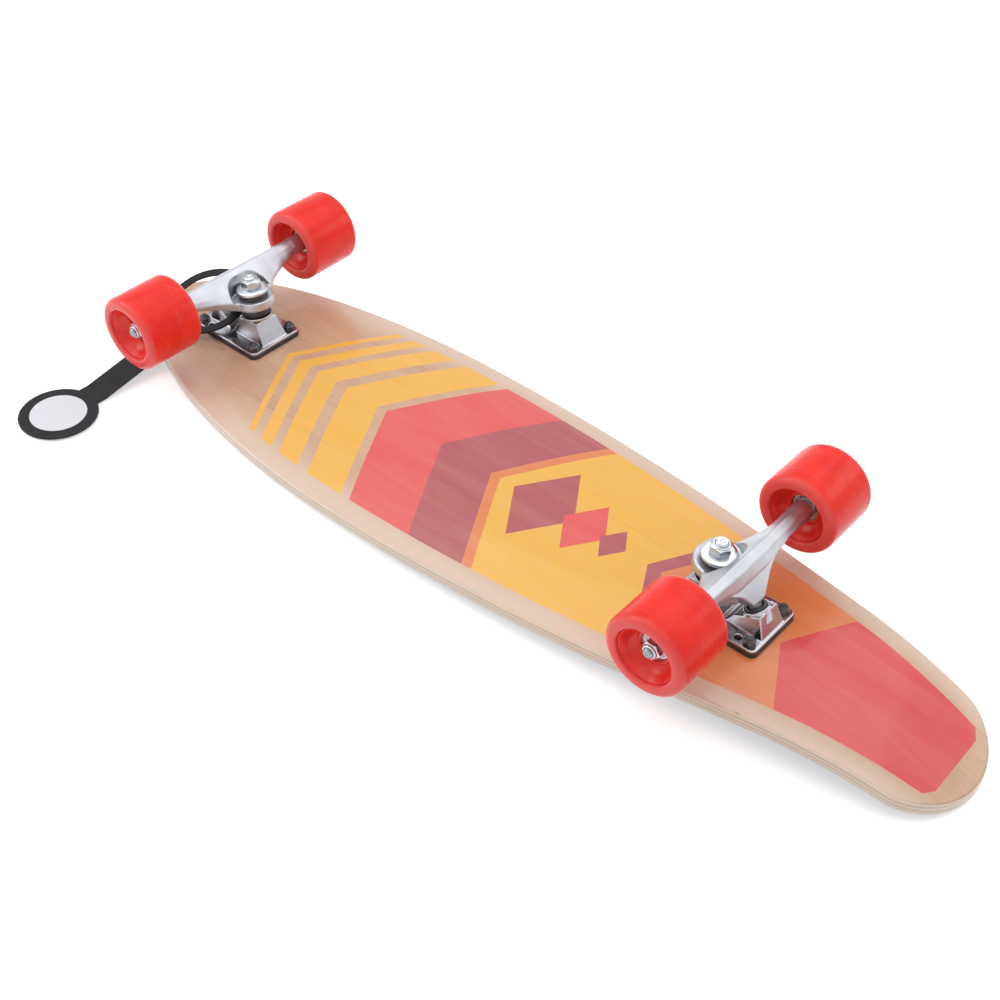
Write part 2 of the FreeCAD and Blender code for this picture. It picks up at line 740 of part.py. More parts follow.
def hanger_beam():
    """Ridged beam over the axle that swells into the yoke's arms at its middle."""
    lean = math.radians(mm.kingpin_lean)
    yoke_along = math.sin(lean) * float(yoke_foot) - mm.kingpin_seat_inward - mm.axle_outward
    yoke_low = math.cos(lean) * float(yoke_foot) + mm.kingpin_seat_height - mm.axle_height
    yoke_faces = [(yoke_along, yoke_low + mm.yoke_thickness), (yoke_along, yoke_low)]
    corner_count = len(SLIM_SECTION)
    turns = [2 * math.pi * step / corner_count for step in range(corner_count)]
    radius = mm.hanger_end_radius
    round_end = [(-radius * math.sin(turn), radius * math.cos(turn)) for turn in turns]
    half = mm.hanger_taper_end
    stations = [(half, round_end), (half * SLIM_SHARE, SLIM_SECTION), (half * WIDE_SHARE, WIDE_SECTION),
                (mm.yoke_radius, MIDDLE_RIDGE + yoke_faces + MIDDLE_UNDERSIDE)]
    stations += [(-y, offsets) for y, offsets in reversed(stations)]
    return Part.makeLoft([hanger_section(y, offsets) for y, offsets in stations], True, True)


def hanger_web():
    """Triangular web from the beam down to the pivot, along the pivot's own line."""
    sections = []
    middle = (mm.web_start + mm.web_end) / 2
    for along, wide, deep in ((mm.web_start, mm.web_start_half_width, mm.web_start_half_depth),
                              (middle, mm.web_middle_half_width, mm.web_middle_half_depth),
                              (mm.web_end, mm.web_end_half_width, mm.web_end_half_depth)):
        corners = [Vector(-deep, -wide, along), Vector(deep, -wide, along),
                   Vector(deep, wide, along), Vector(-deep, wide, along)]
        sections.append(Part.makePolygon([pivot_place.multVec(corner) for corner in corners + corners[:1]]))
    return Part.makeLoft(sections, True, True)


def make_hanger(end):
    name = f"{end}_hanger"
    length = size.hanger_half_length * 2
    round_length = size.hanger_half_length - size.hanger_taper_end
    round_ends = [primitive("Cylinder", f"{name}_round_end_{number}", axle_place.multiply(at(z=foot)),
                            Radius=size.hanger_end_radius, Height=round_length)
                  for number, foot in enumerate((mm.hanger_taper_end, -mm.hanger_half_length))]
    beam = formed(f"{name}_beam", hanger_beam())
    web = formed(f"{name}_web", hanger_web())
    yoke = primitive("Cylinder", f"{name}_yoke", kingpin_place.multiply(at(z=float(yoke_foot))),
                     Radius=size.yoke_radius, Height=size.yoke_thickness)
    ball = primitive("Sphere", f"{name}_ball", pivot_place, Radius=size.pivot_ball_radius)
    neck = primitive("Cylinder", f"{name}_neck", pivot_place,
                     Radius=size.pivot_neck_radius, Height=size.web_start + size.pivot_neck_radius)
    casting = fused(f"{name}_casting", [beam, web, yoke, ball, neck] + round_ends)
    washer_radius = size.upper_bushing_radius + size.bushing_waist + size.washer_wall
    pocket_radius = washer_radius + size.yoke_pocket_clearance
    pocket_place = kingpin_place.multiply(at(z=float(yoke_top)))
    deep = float(pocket_radius)
    swing = mm.yoke_pocket_swing
    pocket_height = size.axle_height
    pocket = [primitive("Cylinder", f"{name}_pocket_{number}", pocket_place.multiply(at(y=side * swing)),
                        Radius=pocket_radius, Height=pocket_height) for number, side in enumerate((1, -1))]
    pocket.append(primitive("Box", f"{name}_pocket_middle", pocket_place.multiply(at(-deep, -swing)),
                            Length=pocket_radius * 2, Width=size.yoke_pocket_swing * 2, Height=pocket_height))
    hole = primitive("Cylinder", f"{name}_yoke_hole", kingpin_place, Radius=size.yoke_hole_radius,
                     Height=size.axle_height)
    bore = primitive("Cylinder", f"{name}_bore", axle_place.multiply(at(z=-mm.hanger_half_length)),
                     Radius=size.axle_radius + size.axle_clearance, Height=length)
    keep(cut(name, casting, pocket + [hole, bore]), truck_place(end))


# Axle and wheels

axle_half_length = (wheel_offset + half_stack + size.axle_washer_thickness + size.axle_nut_height
                    + size.axle_nut_collar + size.axle_proud)


def make_axle(end):
    tip = axle_half_length
    shoulder = tip - size.axle_chamfer
    point = size.axle_radius - size.axle_chamfer
    profile = [(NOTHING, -tip), (point, -tip), (size.axle_radius, -shoulder), (size.axle_radius, shoulder),
               (point, tip), (NOTHING, tip)]
    keep(turned(f"{end}_axle", profile), truck_place(end).multiply(axle_place))


def wheel_place(end, side):
    """Frame of a wheel on a truck: origin at its middle and Z out along the axle."""
    outward = side if end == "rear" else -side
    return truck_place(end).multiply(at(mm.axle_outward, outward * float(wheel_offset), mm.axle_height,
                                        X_AXIS, -90 * outward))


def make_axle_fasteners(end):
    """Washers on both sides of each wheel, and a lock nut outside it."""
    bore = size.axle_radius + size.axle_clearance
    washers = []
    nuts = []
    for side_name, side in (("left", 1), ("right", -1)):
        place = wheel_place(end, side)
        for where, foot in (("inner", -half_stack - size.axle_washer_thickness), ("outer", half_stack)):
            washers.append(ring(f"{end}_{side_name}_{where}_washer", size.axle_washer_radius, bore,
                                size.axle_washer_thickness, place.multiply(at(z=float(foot)))))
        nut_foot = half_stack + size.axle_washer_thickness
        name = f"{end}_{side_name}_axle_nut"
        body = fused(f"{name}_body", [
            hexagon(f"{name}_hex", size.axle_nut_flats, size.axle_nut_height),
            primitive("Cylinder", f"{name}_collar", at(z=mm.axle_nut_height),
                      Radius=size.axle_nut_collar_radius, Height=size.axle_nut_collar)])
        hole = primitive("Cylinder", f"{name}_bore",
                         Radius=bore, Height=size.axle_nut_height + size.axle_nut_collar)
        nut = cut(name, body, [hole])
        nut.Placement = place.multiply(at(z=float(nut_foot)))
        nuts.append(nut)
    keep(group(f"{end}_axle_washers", washers))
    keep(group(f"{end}_axle_nuts", nuts))


def make_tyre(name, place):
    half = size.wheel_width / 2
    seat = half - size.dish_inset
    profile = [(size.core_radius, -seat), (size.recess_radius, -half), (size.wheel_radius, -half),
               (size.wheel_radius, half), (size.recess_radius, half), (size.core_radius, seat)]
    rounds = [(size.wheel_lip_round, [(size.wheel_radius, half), (size.wheel_radius, -half)]),
              (size.recess_edge_round, [(size.recess_radius, half), (size.recess_radius, -half)])]
    keep(turned(f"{name}_tyre", profile, rounds), place)


def make_core(name, place):
    """Hub with dished faces, a seat for a bearing in each and a low rim round each seat."""
    seat = size.spacer_length / 2
    half = size.core_width / 2
    edge = size.wheel_width / 2 - size.dish_inset
    rim = half + size.core_rim_height
    rim_radius = size.bearing_radius + size.core_rim_wall
    bore = size.core_shoulder_radius
    profile = [(bore, -seat), (size.bearing_radius, -seat), (size.bearing_radius, -rim), (rim_radius, -rim),
               (rim_radius, -half), (size.core_radius, -edge), (size.core_radius, edge), (rim_radius, half),
               (rim_radius, rim), (size.bearing_radius, rim), (size.bearing_radius, seat), (bore, seat)]
    keep(turned(f"{name}_core", profile), place)


def make_bearings(name, place):
    """Two ball bearings on one axle, with a spacer between their inner races."""
    outer_bore = size.bearing_radius - size.outer_race_wall
    inner_radius = size.bearing_bore_radius + size.inner_race_wall
    pitch = (outer_bore + inner_radius) / 2
    track = size.ball_radius + size.ball_clearance
    races = {"outer": [], "inner": []}
    balls = []
    shields = []
    for number, sign in enumerate((1, -1)):
        middle = sign * float(size.spacer_length / 2 + size.bearing_width / 2)
        foot = middle - mm.bearing_width / 2
        for kind, outside, bore in (("outer", size.bearing_radius, outer_bore),
                                    ("inner", inner_radius, size.bearing_bore_radius)):
            blank = ring(f"{name}_{kind}_race_blank_{number}", outside, bore, size.bearing_width, at(z=foot))
            groove = primitive("Torus", f"{name}_{kind}_groove_{number}", at(z=middle),
                               Radius1=pitch, Radius2=track)
            races[kind].append(cut(f"{name}_{kind}_race_{number}", blank, [groove]))
        for step in range(int(mm.ball_count)):
            turn = 2 * math.pi * step / mm.ball_count
            spot = at(float(pitch) * math.cos(turn), float(pitch) * math.sin(turn), middle)
            balls.append(primitive("Sphere", f"{name}_ball_{number}_{step}", spot, Radius=size.ball_radius))
        for face, edge in enumerate((foot + mm.shield_gap, foot + mm.bearing_width - mm.shield_gap
                                     - mm.shield_thickness)):
            shields.append(ring(f"{name}_shield_{number}_{face}", outer_bore, inner_radius + size.shield_gap,
                                size.shield_thickness, at(z=edge)))
    keep(group(f"{name}_bearing_outer_races", races["outer"]), place)
    keep(group(f"{name}_bearing_inner_races", races["inner"]), place)
    keep(group(f"{name}_bearing_balls", balls), place)
    keep(group(f"{name}_bearing_shields", shields), place)
    spacer_foot = -float(size.spacer_length / 2)
    keep(ring(f"{name}_bearing_spacer", size.bearing_bore_radius + size.spacer_wall, size.bearing_bore_radius,
              size.spacer_length), place.multiply(at(z=spacer_foot)))


# Hang tag

def make_tag():
    """Flat tag looped round the front truck's pivot, lying over the rail with its disc outside the board."""
    middle = -mm.wheelbase / 2 - mm.tag_loop_outward
    loop_y = -mm.tag_loop_aside
    disc_y = -mm.tag_disc_aside
    low = -mm.wheelbase / 2

    def upright(name, y, radius):
        return primitive("Cylinder", name, at(middle, y, low), Radius=radius, Height=size.wheelbase)

    strap = primitive("Box", "tag_strap", at(middle - mm.tag_strap_width / 2, disc_y, low),
                      Length=size.tag_strap_width, Width=abs(disc_y - loop_y), Height=size.wheelbase)
    plan = fused("tag_outside", [upright("tag_loop", loop_y, size.tag_loop_radius),
                                 upright("tag_disc", disc_y, size.tag_disc_radius), strap])
    plan = cut("tag_plan", plan, [upright("tag_hole", loop_y, size.tag_loop_radius - size.tag_loop_band)])

    far_y = loop_y + mm.tag_loop_radius
    near_y = loop_y - mm.tag_loop_radius
    strap_edge = middle + mm.tag_strap_width / 2
    nose_share = (strap_edge + mm.widest_forward) / (mm.nose_reach - mm.widest_forward)
    lean_y = mm.half_width * math.sqrt(1 - nose_share ** 2) - mm.deck_edge_round
    pressed_radius = mm.concave_radius + deck_top
    lean_z = math.sqrt(pressed_radius ** 2 - (lean_y - mm.flat_half_width) ** 2) - mm.concave_radius
    disc_z = deck_top - mm.tag_disc_drop
    knee_y = disc_y + mm.tag_disc_radius + mm.tag_strap_width / 4

    def loop_z(y):
        return deck_top + mm.tag_loop_height + (y - loop_y) * mm.tag_loop_slope - mm.tag_thickness / 2

    inner_knee_y = (near_y - lean_y) / 2
    band = mm.tag_loop_band
    underside = [(disc_y - mm.tag_disc_radius - band, disc_z), (knee_y, disc_z),
                 (-lean_y, lean_z + mm.tag_rail_gap),
                 (inner_knee_y, loop_z(inner_knee_y)), (far_y + band, loop_z(far_y + band))]
    topside = [(y, z + mm.tag_thickness) for y, z in reversed(underside)]
    start = middle - mm.tag_loop_radius - band
    bend = formed("tag_bend_section", polygon_face([(start, y, z) for y, z in underside + topside]))
    bend = extruded("tag_bend", bend, X_AXIS, (size.tag_loop_radius + size.tag_loop_band) * 2)
    keep(common("hang_tag", plan, bend))
    keep(primitive("Cylinder", "tag_label", at(middle, disc_y, disc_z + mm.tag_thickness),
                   Radius=size.label_radius, Height=size.label_thickness))


make_deck()
make_grip_tape()
make_deck_bolts()
for end in ("front", "rear"):
    make_riser(end)
    make_baseplate(end)
    make_kingpin(end)
    make_bushings(end)
    make_pivot_cup(end)
    make_hanger(end)
    make_axle(end)
    make_axle_fasteners(end)
    for side_name, side in (("left", 1), ("right", -1)):
        wheel_name = f"{end}_{side_name}_wheel"
        make_tyre(wheel_name, wheel_place(end, side))
        make_core(wheel_name, wheel_place(end, side))
        make_bearings(wheel_name, wheel_place(end, side))
make_tag()
doc.recompute()

# Nothing is written unless every object is sound
for thing in doc.Objects:
    if "Invalid" in thing.State or "Error" in thing.State:
        raise RuntimeError(f"{thing.Label} failed: {thing.State}")
for node in nodes:
    if node.Shape.isNull() or not node.Shape.isValid() or not node.Shape.Solids:
        raise RuntimeError(f"{node.Label} has no sound solid")

os.makedirs("parts", exist_ok=True)
for node in nodes:
    node.Shape.exportStep(f"parts/{node.Label}.step")
print(len(nodes), "nodes")
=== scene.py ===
import math

import bmesh
import bpy
from mathutils import Matrix, Vector


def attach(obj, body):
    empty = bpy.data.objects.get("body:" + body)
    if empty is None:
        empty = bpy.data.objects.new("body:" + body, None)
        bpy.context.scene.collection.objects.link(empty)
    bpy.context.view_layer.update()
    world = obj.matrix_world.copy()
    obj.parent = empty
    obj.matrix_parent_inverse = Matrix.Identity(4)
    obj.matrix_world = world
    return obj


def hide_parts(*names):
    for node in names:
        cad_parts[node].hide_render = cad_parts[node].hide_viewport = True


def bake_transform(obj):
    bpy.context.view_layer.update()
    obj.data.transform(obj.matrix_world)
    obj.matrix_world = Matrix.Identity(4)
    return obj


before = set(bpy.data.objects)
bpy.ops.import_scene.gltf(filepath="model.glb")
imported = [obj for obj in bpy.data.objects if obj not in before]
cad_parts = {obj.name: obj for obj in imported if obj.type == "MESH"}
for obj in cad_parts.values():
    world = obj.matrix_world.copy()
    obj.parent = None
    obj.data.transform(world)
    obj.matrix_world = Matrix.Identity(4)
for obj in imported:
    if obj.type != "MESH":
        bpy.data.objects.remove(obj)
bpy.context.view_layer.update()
scene = bpy.context.scene

# A longboard lying wheels up: +X to the tail, +Z from the riding face to the wheels.
# Shapes are given in millimetres and made in metres. Finishes read their places in metres.
MM = 0.001
DECK_TOP = 11.8
WHEELBASE = 511.0
WHEEL_OFFSET = 89.0
ENDS = ("front", "rear")
SIDES = {"left": 1, "right": -1}


# Shader nodes

class Tree:
    """Adds nodes to a node tree. A plain value is set on a socket, and a socket is linked to it."""

    def __init__(self, tree):
        self.tree = tree

    def node(self, kind, inputs=None, **settings):
        made = self.tree.nodes.new(kind)
        for name, value in settings.items():
            setattr(made, name, value)
        for key, value in (inputs or {}).items():
            self.feed(made.inputs[key], value)
        return made

    def feed(self, socket, value):
        if isinstance(value, bpy.types.NodeSocket):
            self.tree.links.new(value, socket)
        else:
            socket.default_value = value

    def math(self, operation, *values, clamp=False):
        made = self.node("ShaderNodeMath", operation=operation, use_clamp=clamp)
        for socket, value in zip(made.inputs, values):
            self.feed(socket, value)
        return made.outputs[0]

    def mix(self, factor, first, second):
        """A colour between two others."""
        made = self.node("ShaderNodeMix", data_type="RGBA")
        for index, value in ((0, factor), (6, first), (7, second)):
            self.feed(made.inputs[index], value)
        return made.outputs[2]

    def between(self, value, low, high, new_low=0.0, new_high=1.0, smooth=True):
        """A value spread from one span to another, held at its ends."""
        made = self.node("ShaderNodeMapRange", {0: value, 1: low, 2: high, 3: new_low, 4: new_high},
                         interpolation_type="SMOOTHSTEP" if smooth else "LINEAR")
        return made.outputs[0]

    def position(self):
        return self.node("ShaderNodeTexCoord").outputs["Object"]

    def scaled(self, vector, scale):
        return self.node("ShaderNodeVectorMath", {0: vector, "Scale": scale}, operation="SCALE").outputs[0]

    def stretched(self, vector, scale, turn=(0, 0, 0)):
        return self.node("ShaderNodeMapping", {"Vector": vector, "Scale": scale, "Rotation": turn}).outputs[0]

    def noise(self, vector, scale, detail=4.0, roughness=0.55, distortion=0.0):
        return self.node("ShaderNodeTexNoise", {"Vector": vector, "Scale": scale, "Detail": detail,
                                                "Roughness": roughness, "Distortion": distortion}).outputs[0]

    def bands(self, value, stops, smooth=False):
        """A colour ramp: stops are pairs of place and colour."""
        made = self.node("ShaderNodeValToRGB", {0: value})
        made.color_ramp.interpolation = "LINEAR" if smooth else "CONSTANT"
        elements = made.color_ramp.elements
        while len(elements) < len(stops):
            elements.new(1.0)
        for element, (place, shade) in zip(elements, stops):
            element.position = place
            element.color = shade
        return made


def shared_effect(name, inputs, outputs):
    """An empty shader group with named float inputs and the given outputs."""
    group = bpy.data.node_groups.new(name, "ShaderNodeTree")
    for label, value in inputs.items():
        group.interface.new_socket(label, in_out="INPUT", socket_type="NodeSocketFloat").default_value = value
    for label, kind in outputs.items():
        group.interface.new_socket(label, in_out="OUTPUT", socket_type=kind)
    tree = Tree(group)
    return group, tree, tree.node("NodeGroupInput").outputs, tree.node("NodeGroupOutput").inputs


def scuff_effect():
    """Fine scratches and finger haze: how rough the surface is, and its small relief."""
    group, tree, given, result = shared_effect(
        "fine_scuffs", {"Size": 1.0, "Low": 0.2, "High": 0.4},
        {"Roughness": "NodeSocketFloat", "Height": "NodeSocketFloat"})
    place = tree.scaled(tree.position(), given["Size"])
    haze = tree.noise(place, 60.0, 5.0)
    scratches = []
    for scale, turn in (((0.06, 1, 1), (0, 0, 0.5)), ((1, 0.05, 1), (0.3, 0, -0.4))):
        lines = tree.noise(tree.stretched(place, scale, turn), 900.0, 3.0, 0.7)
        scratches.append(tree.between(lines, 0.62, 0.74))
    scratch = tree.math("MAXIMUM", *scratches)
    amount = tree.math("ADD", tree.math("MULTIPLY", tree.between(haze, 0.3, 0.7), 0.75),
                       tree.math("MULTIPLY", scratch, 0.25))
    spread = tree.between(amount, 0.0, 1.0, given["Low"], given["High"], smooth=False)
    tree.feed(result["Roughness"], spread)
    tree.feed(result["Height"], tree.math("SUBTRACT", tree.math("MULTIPLY", haze, 0.3), scratch))
    return group


def cast_effect():
    """The soft pebble of a tumbled casting."""
    group, tree, given, result = shared_effect(
        "cast_skin", {"Grain": 1.0}, {"Height": "NodeSocketFloat", "Shade": "NodeSocketFloat"})
    place = tree.scaled(tree.position(), given["Grain"])
    coarse = tree.noise(place, 220.0, 3.0)
    fine = tree.noise(place, 1400.0, 2.0, 0.6)
    tree.feed(result["Height"], tree.math("ADD", tree.math("MULTIPLY", coarse, 0.7),
                                          tree.math("MULTIPLY", fine, 0.3)))
    tree.feed(result["Shade"], tree.between(tree.noise(place, 45.0, 4.0), 0.3, 0.7))
    return group


def edge_effect():
    """Mask of worn edges: where the surface bends sharply, broken up by noise."""
    group, tree, given, result = shared_effect("edge_wear", {"Reach": 0.0006}, {"Mask": "NodeSocketFloat"})
    rounded = tree.node("ShaderNodeBevel", {"Radius": given["Reach"]}, samples=4)
    true_normal = tree.node("ShaderNodeNewGeometry").outputs["Normal"]
    meet = tree.node("ShaderNodeVectorMath", {0: rounded.outputs[0], 1: true_normal}, operation="DOT_PRODUCT")
    bend = tree.between(tree.math("SUBTRACT", 1.0, meet.outputs["Value"]), 0.02, 0.2)
    patches = tree.between(tree.noise(tree.position(), 420.0, 5.0), 0.38, 0.62)
    tree.feed(result["Mask"], tree.math("MULTIPLY", bend, patches))
    return group


SCUFFS = scuff_effect()
CAST = cast_effect()
EDGES = edge_effect()


def material(name, **plain):
    """A material with a Principled shader whose plain sockets are set by name."""
    made = bpy.data.materials.new(name)
    made.use_nodes = True
    tree = Tree(made.node_tree)
    shader = made.node_tree.nodes["Principled BSDF"]
    for label, value in plain.items():
        shader.inputs[label.replace("_", " ")].default_value = value
    return made, tree, shader


def placed(tree, group, **values):
    """The outputs of a shared effect, put into a material with its own values."""
    made = tree.node("ShaderNodeGroup", node_tree=group)
    for label, value in values.items():
        tree.feed(made.inputs[label], value)
    return made.outputs


def scuffed(tree, shader, size, low, high):
    """Makes a shader as rough as fine scuffs leave it, and gives back their relief."""
    scuffs = placed(tree, SCUFFS, Size=size, Low=low, High=high)
    tree.feed(shader.inputs["Roughness"], scuffs["Roughness"])
    return scuffs["Height"]


def bump(tree, shader, height, distance):
    made = tree.node("ShaderNodeBump", {"Height": height, "Distance": distance, "Strength": 1.0})
    tree.feed(shader.inputs["Normal"], made.outputs[0])


def colour(red, green, blue):
    return (red, green, blue, 1.0)


# The deck's finish, with its places in metres

# Where the kick and the concave start, and the radii that they bend with
KICK_START = 0.327
KICK_RADIUS = 0.351
FLAT_HALF_WIDTH = 0.031
CONCAVE_RADIUS = 0.447
# Layers from the riding face, and how far down the edge the face's look goes
GRIP_THICKNESS = 0.0008
PLY_THICKNESS = 0.011 / 7
FACE_SKIN = 0.0004
# Outline: an oval nose, rails that bow from the widest place, and a straight run to the tail
WIDEST_PLACE = -0.057
HALF_WIDTH = 0.1096
NOSE_LENGTH = 0.296
RAIL_RADIUS = 1.815
RAIL_ARC = 0.3
TAIL_START = 0.243
TAIL_SLOPE = 0.1676


def hypotenuse(tree, first, second):
    squares = [tree.math("POWER", side, 2.0) for side in (first, second)]
    return tree.math("SQRT", tree.math("ADD", *squares))


def deck_depth(tree, along, across, up):
    """Depth through the pressed sheet from the riding face: the kick and the concave unbent."""
    past_kick = tree.math("MAXIMUM", tree.math("SUBTRACT", along, KICK_START), 0.0)
    from_centre = hypotenuse(tree, past_kick, tree.math("ADD", up, KICK_RADIUS))
    level = tree.math("SUBTRACT", from_centre, KICK_RADIUS)
    past_flat = tree.math("MAXIMUM", tree.math("SUBTRACT", across, FLAT_HALF_WIDTH), 0.0)
    from_centre = hypotenuse(tree, past_flat, tree.math("ADD", level, CONCAVE_RADIUS))
    return tree.math("SUBTRACT", from_centre, CONCAVE_RADIUS)


def deck_half_width(tree, along):
    """Half the deck's width at a place along it."""
    from_widest = tree.math("SUBTRACT", along, WIDEST_PLACE)
    nose = tree.math("DIVIDE", tree.math("MINIMUM", from_widest, 0.0), NOSE_LENGTH)
    oval = tree.math("SQRT", tree.math("SUBTRACT", 1.0, tree.math("POWER", nose, 2.0)))
    arc = tree.math("MINIMUM", tree.math("MAXIMUM", from_widest, 0.0), RAIL_ARC)
    arched = tree.math("SQRT", tree.math("SUBTRACT", RAIL_RADIUS ** 2, tree.math("POWER", arc, 2.0)))
    past_arc = tree.math("MAXIMUM", tree.math("SUBTRACT", along, TAIL_START), 0.0)
    straight = tree.math("MULTIPLY", past_arc, TAIL_SLOPE)
    width = tree.math("ADD", tree.math("MULTIPLY", oval, HALF_WIDTH),
                      tree.math("SUBTRACT", arched, RAIL_RADIUS))
    return tree.math("SUBTRACT", width, straight)


YELLOW = colour(0.83, 0.43, 0.045)
ORANGE = colour(0.72, 0.20, 0.055)
CORAL = colour(0.74, 0.075, 0.075)
MAUVE = colour(0.42, 0.07, 0.085)
RED = colour(0.68, 0.035, 0.045)
BARE = (0.6, 0.4, 0.25, 0.0)

# Chevron stripes from nose to tail, by where each starts along the middle of the board
STRIPES = [
    (-0.300, BARE), (-0.204, YELLOW), (-0.198, BARE), (-0.190, YELLOW), (-0.178, BARE), (-0.168, YELLOW),
    (-0.146, BARE), (-0.134, YELLOW), (-0.096, BARE), (-0.086, CORAL), (-0.022, MAUVE), (0.030, ORANGE),
    (0.040, YELLOW), (0.182, MAUVE), (0.196, ORANGE), (0.300, RED),
]
STRIPE_START = -0.3
STRIPE_SPAN = 0.8
STRIPE_RAKE = 0.55
# Lozenges: place along the middle of the board, half length, half width and ink
LOZENGES = (
    (0.085, 0.030, 0.045, MAUVE),
    (0.125, 0.020, 0.030, CORAL),
    (0.152, 0.012, 0.018, MAUVE),
)
# The print stops short of the rails and the tail, and its last corners are cut off
BORDER = 0.0165
PRINT_END = 0.4395
CORNER_END = 0.4565
CORNER_RAKE = 0.62
# Small knots by the edge of the face veneer
EDGE_KNOTS = (
    (0.313, -0.0715, 0.0112),
    (0.4435, -0.0505, 0.006),
    (-0.151, 0.1015, 0.011),
    (0.128, 0.0995, 0.0112),
)
KNOT_STRETCH = (260.0, 520.0, 520.0)


def printed_panel(tree, along, across, half_width):
    """Colour and cover of the print: raked stripes and a row of lozenges inside an even border."""
    raked = tree.math("SUBTRACT", along, tree.math("MULTIPLY", across, STRIPE_RAKE))
    place = tree.math("DIVIDE", tree.math("SUBTRACT", raked, STRIPE_START), STRIPE_SPAN)
    stripes = tree.bands(place, [((start - STRIPE_START) / STRIPE_SPAN, shade) for start, shade in STRIPES])
    shade = stripes.outputs["Color"]
    for middle, long, wide, ink in LOZENGES:
        ahead = tree.math("DIVIDE", tree.math("ABSOLUTE", tree.math("SUBTRACT", along, middle)), long)
        aside = tree.math("DIVIDE", across, wide)
        inside = tree.math("LESS_THAN", tree.math("ADD", ahead, aside), 1.0)
        shade = tree.mix(inside, shade, ink)
    cover = tree.math("LESS_THAN", across, tree.math("SUBTRACT", half_width, BORDER))
    corner = tree.math("ADD", along, tree.math("MULTIPLY", across, CORNER_RAKE))
    for limit, value in ((PRINT_END, along), (CORNER_END, corner)):
        cover = tree.math("MULTIPLY", cover, tree.math("LESS_THAN", value, limit))
    return shade, tree.math("MULTIPLY", cover, stripes.outputs["Alpha"])


def lacquered_maple():
    """Maple veneers under clear lacquer, with the plies at the edge and the print on the wheel side."""
    made, tree, shader = material("lacquered_maple", Coat_Weight=0.35, Coat_Roughness=0.06)
    place = tree.position()
    parts = tree.node("ShaderNodeSeparateXYZ", {0: place}).outputs
    along = parts["X"]
    across = tree.math("ABSOLUTE", parts["Y"])
    depth = deck_depth(tree, along, across, parts["Z"])

    figure = tree.noise(tree.stretched(place, (2.2, 16.0, 4.0)), 3.0, 5.0, 0.6, 0.8)
    lines = tree.noise(tree.stretched(place, (5.0, 260.0, 40.0)), 3.0, 4.0, 0.65, 0.3)
    pores = tree.between(tree.noise(tree.stretched(place, (30.0, 900.0, 60.0)), 2.0, 2.0), 0.64, 0.72)
    face = tree.bands(figure, [(0.25, colour(0.64, 0.41, 0.265)), (0.55, colour(0.60, 0.36, 0.225)),
                               (0.8, colour(0.50, 0.275, 0.165))], smooth=True).outputs[0]
    face = tree.mix(tree.between(lines, 0.42, 0.7, 0.0, 0.35), face, colour(0.47, 0.25, 0.14))
    face = tree.mix(tree.math("MULTIPLY", pores, 0.4), face, colour(0.34, 0.17, 0.09))
    half_width = deck_half_width(tree, along)
    near_rail = tree.between(tree.math("DIVIDE", across, half_width), 0.62, 0.98, 0.0, 0.6)
    face = tree.mix(near_rail, face, colour(0.75, 0.60, 0.49))

    ply = tree.math("DIVIDE", tree.math("SUBTRACT", depth, GRIP_THICKNESS), PLY_THICKNESS)
    cross_grain = tree.math("MODULO", tree.math("FLOOR", ply), 2.0)
    within = tree.math("FRACT", ply)
    glue = tree.math("ADD", tree.between(within, 0.0, 0.1, 1.0, 0.0), tree.between(within, 0.9, 1.0))
    end_grain = tree.noise(tree.stretched(place, (420.0, 420.0, 60.0)), 4.0, 3.0, 0.7)
    long_grain = tree.noise(tree.stretched(place, (14.0, 14.0, 600.0)), 3.0, 4.0, 0.6)
    edge_tone = tree.mix(cross_grain, colour(0.78, 0.65, 0.53), colour(0.64, 0.48, 0.35))
    edge_tone = tree.mix(tree.between(long_grain, 0.4, 0.75, 0.0, 0.35), edge_tone, colour(0.52, 0.36, 0.24))
    dark_ends = tree.math("MULTIPLY", tree.between(end_grain, 0.5, 0.72),
                          tree.math("MULTIPLY", cross_grain, 0.5))
    edge_tone = tree.mix(dark_ends, edge_tone, colour(0.34, 0.2, 0.11))
    edge_tone = tree.mix(tree.math("MULTIPLY", glue, 0.4), edge_tone, colour(0.40, 0.27, 0.18))

    on_face = tree.math("GREATER_THAN", depth, DECK_TOP * MM - FACE_SKIN)
    wood = tree.mix(on_face, edge_tone, face)
    ragged = tree.math("MULTIPLY", tree.noise(place, 700.0, 3.0), 0.9)
    for middle in EDGE_KNOTS:
        away = tree.node("ShaderNodeVectorMath", {0: place, 1: middle}, operation="SUBTRACT").outputs[0]
        oval = tree.stretched(away, KNOT_STRETCH)
        reach = tree.node("ShaderNodeVectorMath", {0: oval}, operation="LENGTH").outputs["Value"]
        dark = tree.between(tree.math("ADD", reach, ragged), 0.7, 1.5, 0.8, 0.0)
        wood = tree.mix(dark, wood, colour(0.10, 0.055, 0.03))

    ink, cover = printed_panel(tree, along, across, half_width)
    cover = tree.math("MULTIPLY", cover, on_face)
    ink = tree.mix(tree.between(lines, 0.45, 0.75, 0.0, 0.12), ink, colour(0.3, 0.1, 0.05))
    ink = tree.mix(tree.between(figure, 0.3, 0.75, 0.0, 0.10), ink, colour(0.9, 0.6, 0.45))
    tree.feed(shader.inputs["Base Color"], tree.mix(cover, wood, ink))
    scuffs = scuffed(tree, shader, 1.2, 0.28, 0.40)
    relief = tree.math("ADD", tree.math("MULTIPLY", lines, 0.5), tree.math("MULTIPLY", scuffs, 0.06))
    bump(tree, shader, relief, distance=0.00006)
    return made


# Other finishes

